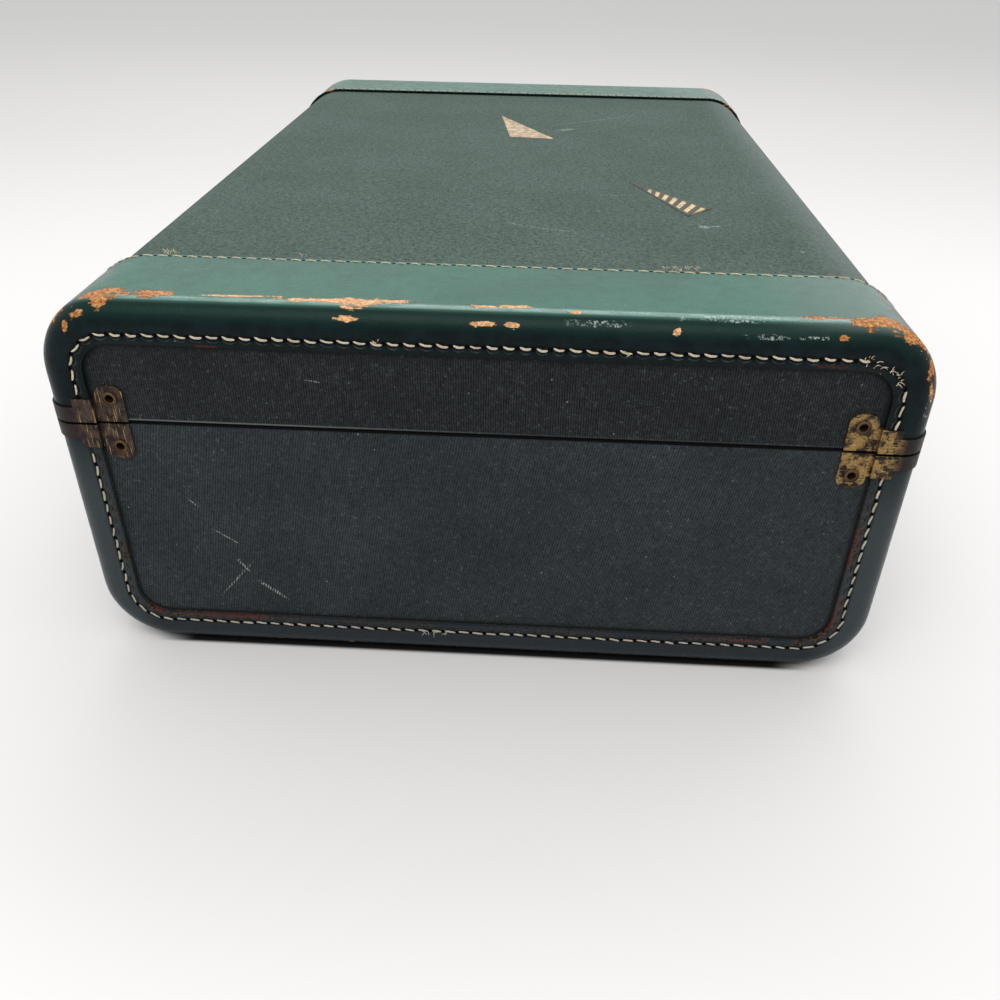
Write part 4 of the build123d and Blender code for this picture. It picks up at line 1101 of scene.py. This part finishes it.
class SUITCASE_OT_grip(bpy.types.Operator):
    """Cover the handle in leather and fit the padded grip round its bar, with its sewn seam"""

    bl_idname = "suitcase.grip"
    bl_label = "Handle grip"

    def execute(self, context):
        shape = context.scene.suitcase_grip
        seams = context.scene.suitcase_seams
        low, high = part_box("handle_grip")
        centre = (low + high) / 2
        axis = Vector(next(joint["pos_m"] for joint in frame["joints"] if joint["name"] == "handle_swing"))
        drop = Vector((centre.x - axis.x, 0, centre.z - axis.z)).normalized()
        outward = Vector((drop.z, 0, -drop.x))
        measures = (shape.waist, low, high, np.array(centre), np.array(drop), np.array(outward))
        leather = handle_leather(context.scene.suitcase_finish)
        finish_nodes(["handle_core"], leather)
        points, faces = grip_surface(measures)
        grip = new_piece("handle_padded_grip", points, faces, [leather], "handle")
        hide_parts("handle_grip")
        chance = np.random.default_rng(seams.seed + 1)
        row = grip_seam(seams.pitch, measures)
        materials = [waxed_thread(context.scene.suitcase_finish), needle_hole_shade()]
        seam_row("handle_grip_stitches", "handle", row, seams, 0.9, chance, materials)
        return {"FINISHED"}


def grip_point(share, angle, waist, low, high, centre, drop, outward):
    """A point of the grip, at a share of its length from -1 to 1 and an angle round its section.

    The section is an oval, half height x cosine along the drop and half thickness x sine
    outwards, with a narrow bell of a ridge about the seam. Its size falls off with the square of
    the share to the waist and closes by a steep root at the ends. The middle line sags with the
    square of the share, as the handle's bar does.
    """
    full = (1 - (1 - waist) * share**2) * np.sqrt(np.clip(1 - np.abs(share) ** 14, 0, 1))
    from_seam = np.arctan2(np.sin(angle - SEAM_ANGLE), np.cos(angle - SEAM_ANGLE))
    ridge = 0.07 * np.exp(-((from_seam / 0.16) ** 2))
    down = GRIP_HALF_HEIGHT * np.cos(angle) * (1 - ridge * 0.2) * full + GRIP_SAG * (0.6 - share**2)
    out = GRIP_HALF_THICKNESS * np.sin(angle) * full * (1 + ridge)
    point = centre + down[..., None] * drop + out[..., None] * outward
    point[..., 1] = centre[1] + share * (high.y - low.y) / 2
    return point


def grip_surface(measures):
    """The grip's closed skin: sections along its length, with a pole at each end."""
    share = np.linspace(-1, 1, 61)[1:-1]
    angle = np.linspace(0, 2 * np.pi, 48, endpoint=False)
    share, angle = np.meshgrid(share, angle, indexing="ij")
    rows, columns = share.shape
    points = grip_point(share, angle, *measures)
    poles = grip_point(np.array([-1.0, 1.0]), np.zeros(2), *measures)
    first = rows * columns
    start = first - columns
    faces = grid_faces(rows, columns, True).tolist()
    faces += [[first, (i + 1) % columns, i] for i in range(columns)]
    faces += [[first + 1, start + i, start + (i + 1) % columns] for i in range(columns)]
    return np.vstack([points.reshape(-1, 3), poles]), faces


def grip_seam(pitch, measures):
    """Stitch places, headings and normals along the grip's seam, just outside its ridge."""
    _, low, high, centre, _, _ = measures
    sewn = 0.84
    step = 0.01
    count = int((high.y - low.y) * sewn / pitch)
    share = np.linspace(-sewn, sewn, count)
    angle = np.full(count, SEAM_ANGLE + 0.28)
    places = grip_point(share, angle, *measures)
    along = grip_point(share + step, angle, *measures) - places
    around = grip_point(share, angle + step, *measures) - places
    normals = unit(np.cross(around, along))
    away = (places - centre) * (1, 0, 1)
    normals *= np.sign(np.sum(normals * away, axis=1, keepdims=True))
    return places, unit(along), normals


class SUITCASE_OT_stage(bpy.types.Operator):
    """Set the floor, the soft studio lights, the pale surroundings and the camera"""

    bl_idname = "suitcase.stage"
    bl_label = "Stage"

    def execute(self, context):
        scene = context.scene
        scene.view_settings.view_transform = "Standard"
        lay_floor(scene)
        hang_light(scene, "strip", place=(0.2, 0.85, 1.35), size=(2.2, 0.35), power=7.0)
        hang_light(scene, "front_fill", place=(-0.1, -1.2, 1.7), size=(1.6, 1.0), power=16.0)
        surround(scene)
        camera_data = bpy.data.cameras.new("camera")
        camera_data.lens = CAMERA_LENS
        camera_data.sensor_width = CAMERA_SENSOR
        camera = bpy.data.objects.new("camera", camera_data)
        camera.location = CAMERA_PLACE
        camera.rotation_euler = CAMERA_TURN
        scene.collection.objects.link(camera)
        scene.camera = camera
        return {"FINISHED"}


def lay_floor(scene):
    """A wide flat paper floor, just below the thread on the case's bottom."""
    reach = 25.0
    low = -0.5 * MM
    corners = [(-reach, -reach, low), (reach, -reach, low), (reach, reach, low), (-reach, reach, low)]
    mesh = bpy.data.meshes.new("floor")
    mesh.from_pydata(corners, [], [(0, 1, 2, 3)])
    mesh.materials.append(studio_floor())
    floor = bpy.data.objects.new("floor", mesh)
    scene.collection.objects.link(floor)


def hang_light(scene, name, place, size, power):
    """A soft light of some width and depth at a place, turned to the middle of the case."""
    target = (0, 0, 0.1)
    data = bpy.data.lights.new(name, "AREA")
    data.shape = "RECTANGLE"
    data.size, data.size_y = size
    data.energy = power
    light = bpy.data.objects.new(name, data)
    light.location = place
    way = Vector(target) - Vector(place)
    light.rotation_euler = way.to_track_quat("-Z", "Y").to_euler()
    scene.collection.objects.link(light)


def surround(scene):
    """Surroundings bright overhead and behind the case, dimmer towards the viewer, seen as pale grey."""
    world = bpy.data.worlds.new("surround")
    world.use_nodes = True
    world.node_tree.nodes.clear()
    add = adder(world.node_tree)
    parts = add("SeparateXYZ", add("TexCoord", output="Generated")).node
    height = add("Math MULTIPLY_ADD", parts.outputs[1], 0.5, add("Math MULTIPLY", parts.outputs[2], 0.7))
    strength = add("MapRange", height, -0.3, 0.8, 0.25, 1.1)
    path = add("LightPath").node
    direct = path.outputs["Is Camera Ray"]
    for kind in ("Is Glossy Ray", "Is Transmission Ray"):
        direct = add("Math MAXIMUM", direct, path.outputs[kind])
    seen = add("Mix FLOAT", direct, strength, 0.75)
    add("OutputWorld", add("Background", "#f6f8fa", seen))
    scene.world = world


class SUITCASE_PT_panel(bpy.types.Panel):
    """Sizes, colours and steps of the suitcase"""

    bl_label = "Suitcase"
    bl_idname = "SUITCASE_PT_panel"
    bl_space_type = "VIEW_3D"
    bl_region_type = "UI"
    bl_category = "Suitcase"

    def draw(self, context):
        scene = context.scene
        for group in (scene.suitcase_finish, scene.suitcase_seams, scene.suitcase_grip):
            box = self.layout.box()
            for name in group.__annotations__:
                box.prop(group, name)
        for operator in OPERATORS:
            self.layout.operator(operator.bl_idname)


OPERATORS = (
    SUITCASE_OT_stage,
    SUITCASE_OT_canvas,
    SUITCASE_OT_bindings,
    SUITCASE_OT_seams,
    SUITCASE_OT_brass,
    SUITCASE_OT_inside,
    SUITCASE_OT_stickers,
    SUITCASE_OT_grip,
)
GROUPS = {
    "suitcase_finish": SuitcaseFinish,
    "suitcase_seams": SuitcaseSeams,
    "suitcase_grip": SuitcaseGrip,
}
CLASSES = (*GROUPS.values(), *OPERATORS, SUITCASE_PT_panel)


def register():
    for cls in CLASSES:
        bpy.utils.register_class(cls)
    for name, group in GROUPS.items():
        setattr(bpy.types.Scene, name, PointerProperty(type=group))


def unregister():
    for name in GROUPS:
        delattr(bpy.types.Scene, name)
    for cls in reversed(CLASSES):
        bpy.utils.unregister_class(cls)


def main():
    """Register the add-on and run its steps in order."""
    register()
    for operator in OPERATORS:
        group, name = operator.bl_idname.split(".")
        getattr(getattr(bpy.ops, group), name)()


if __name__ == "__main__":
    main()
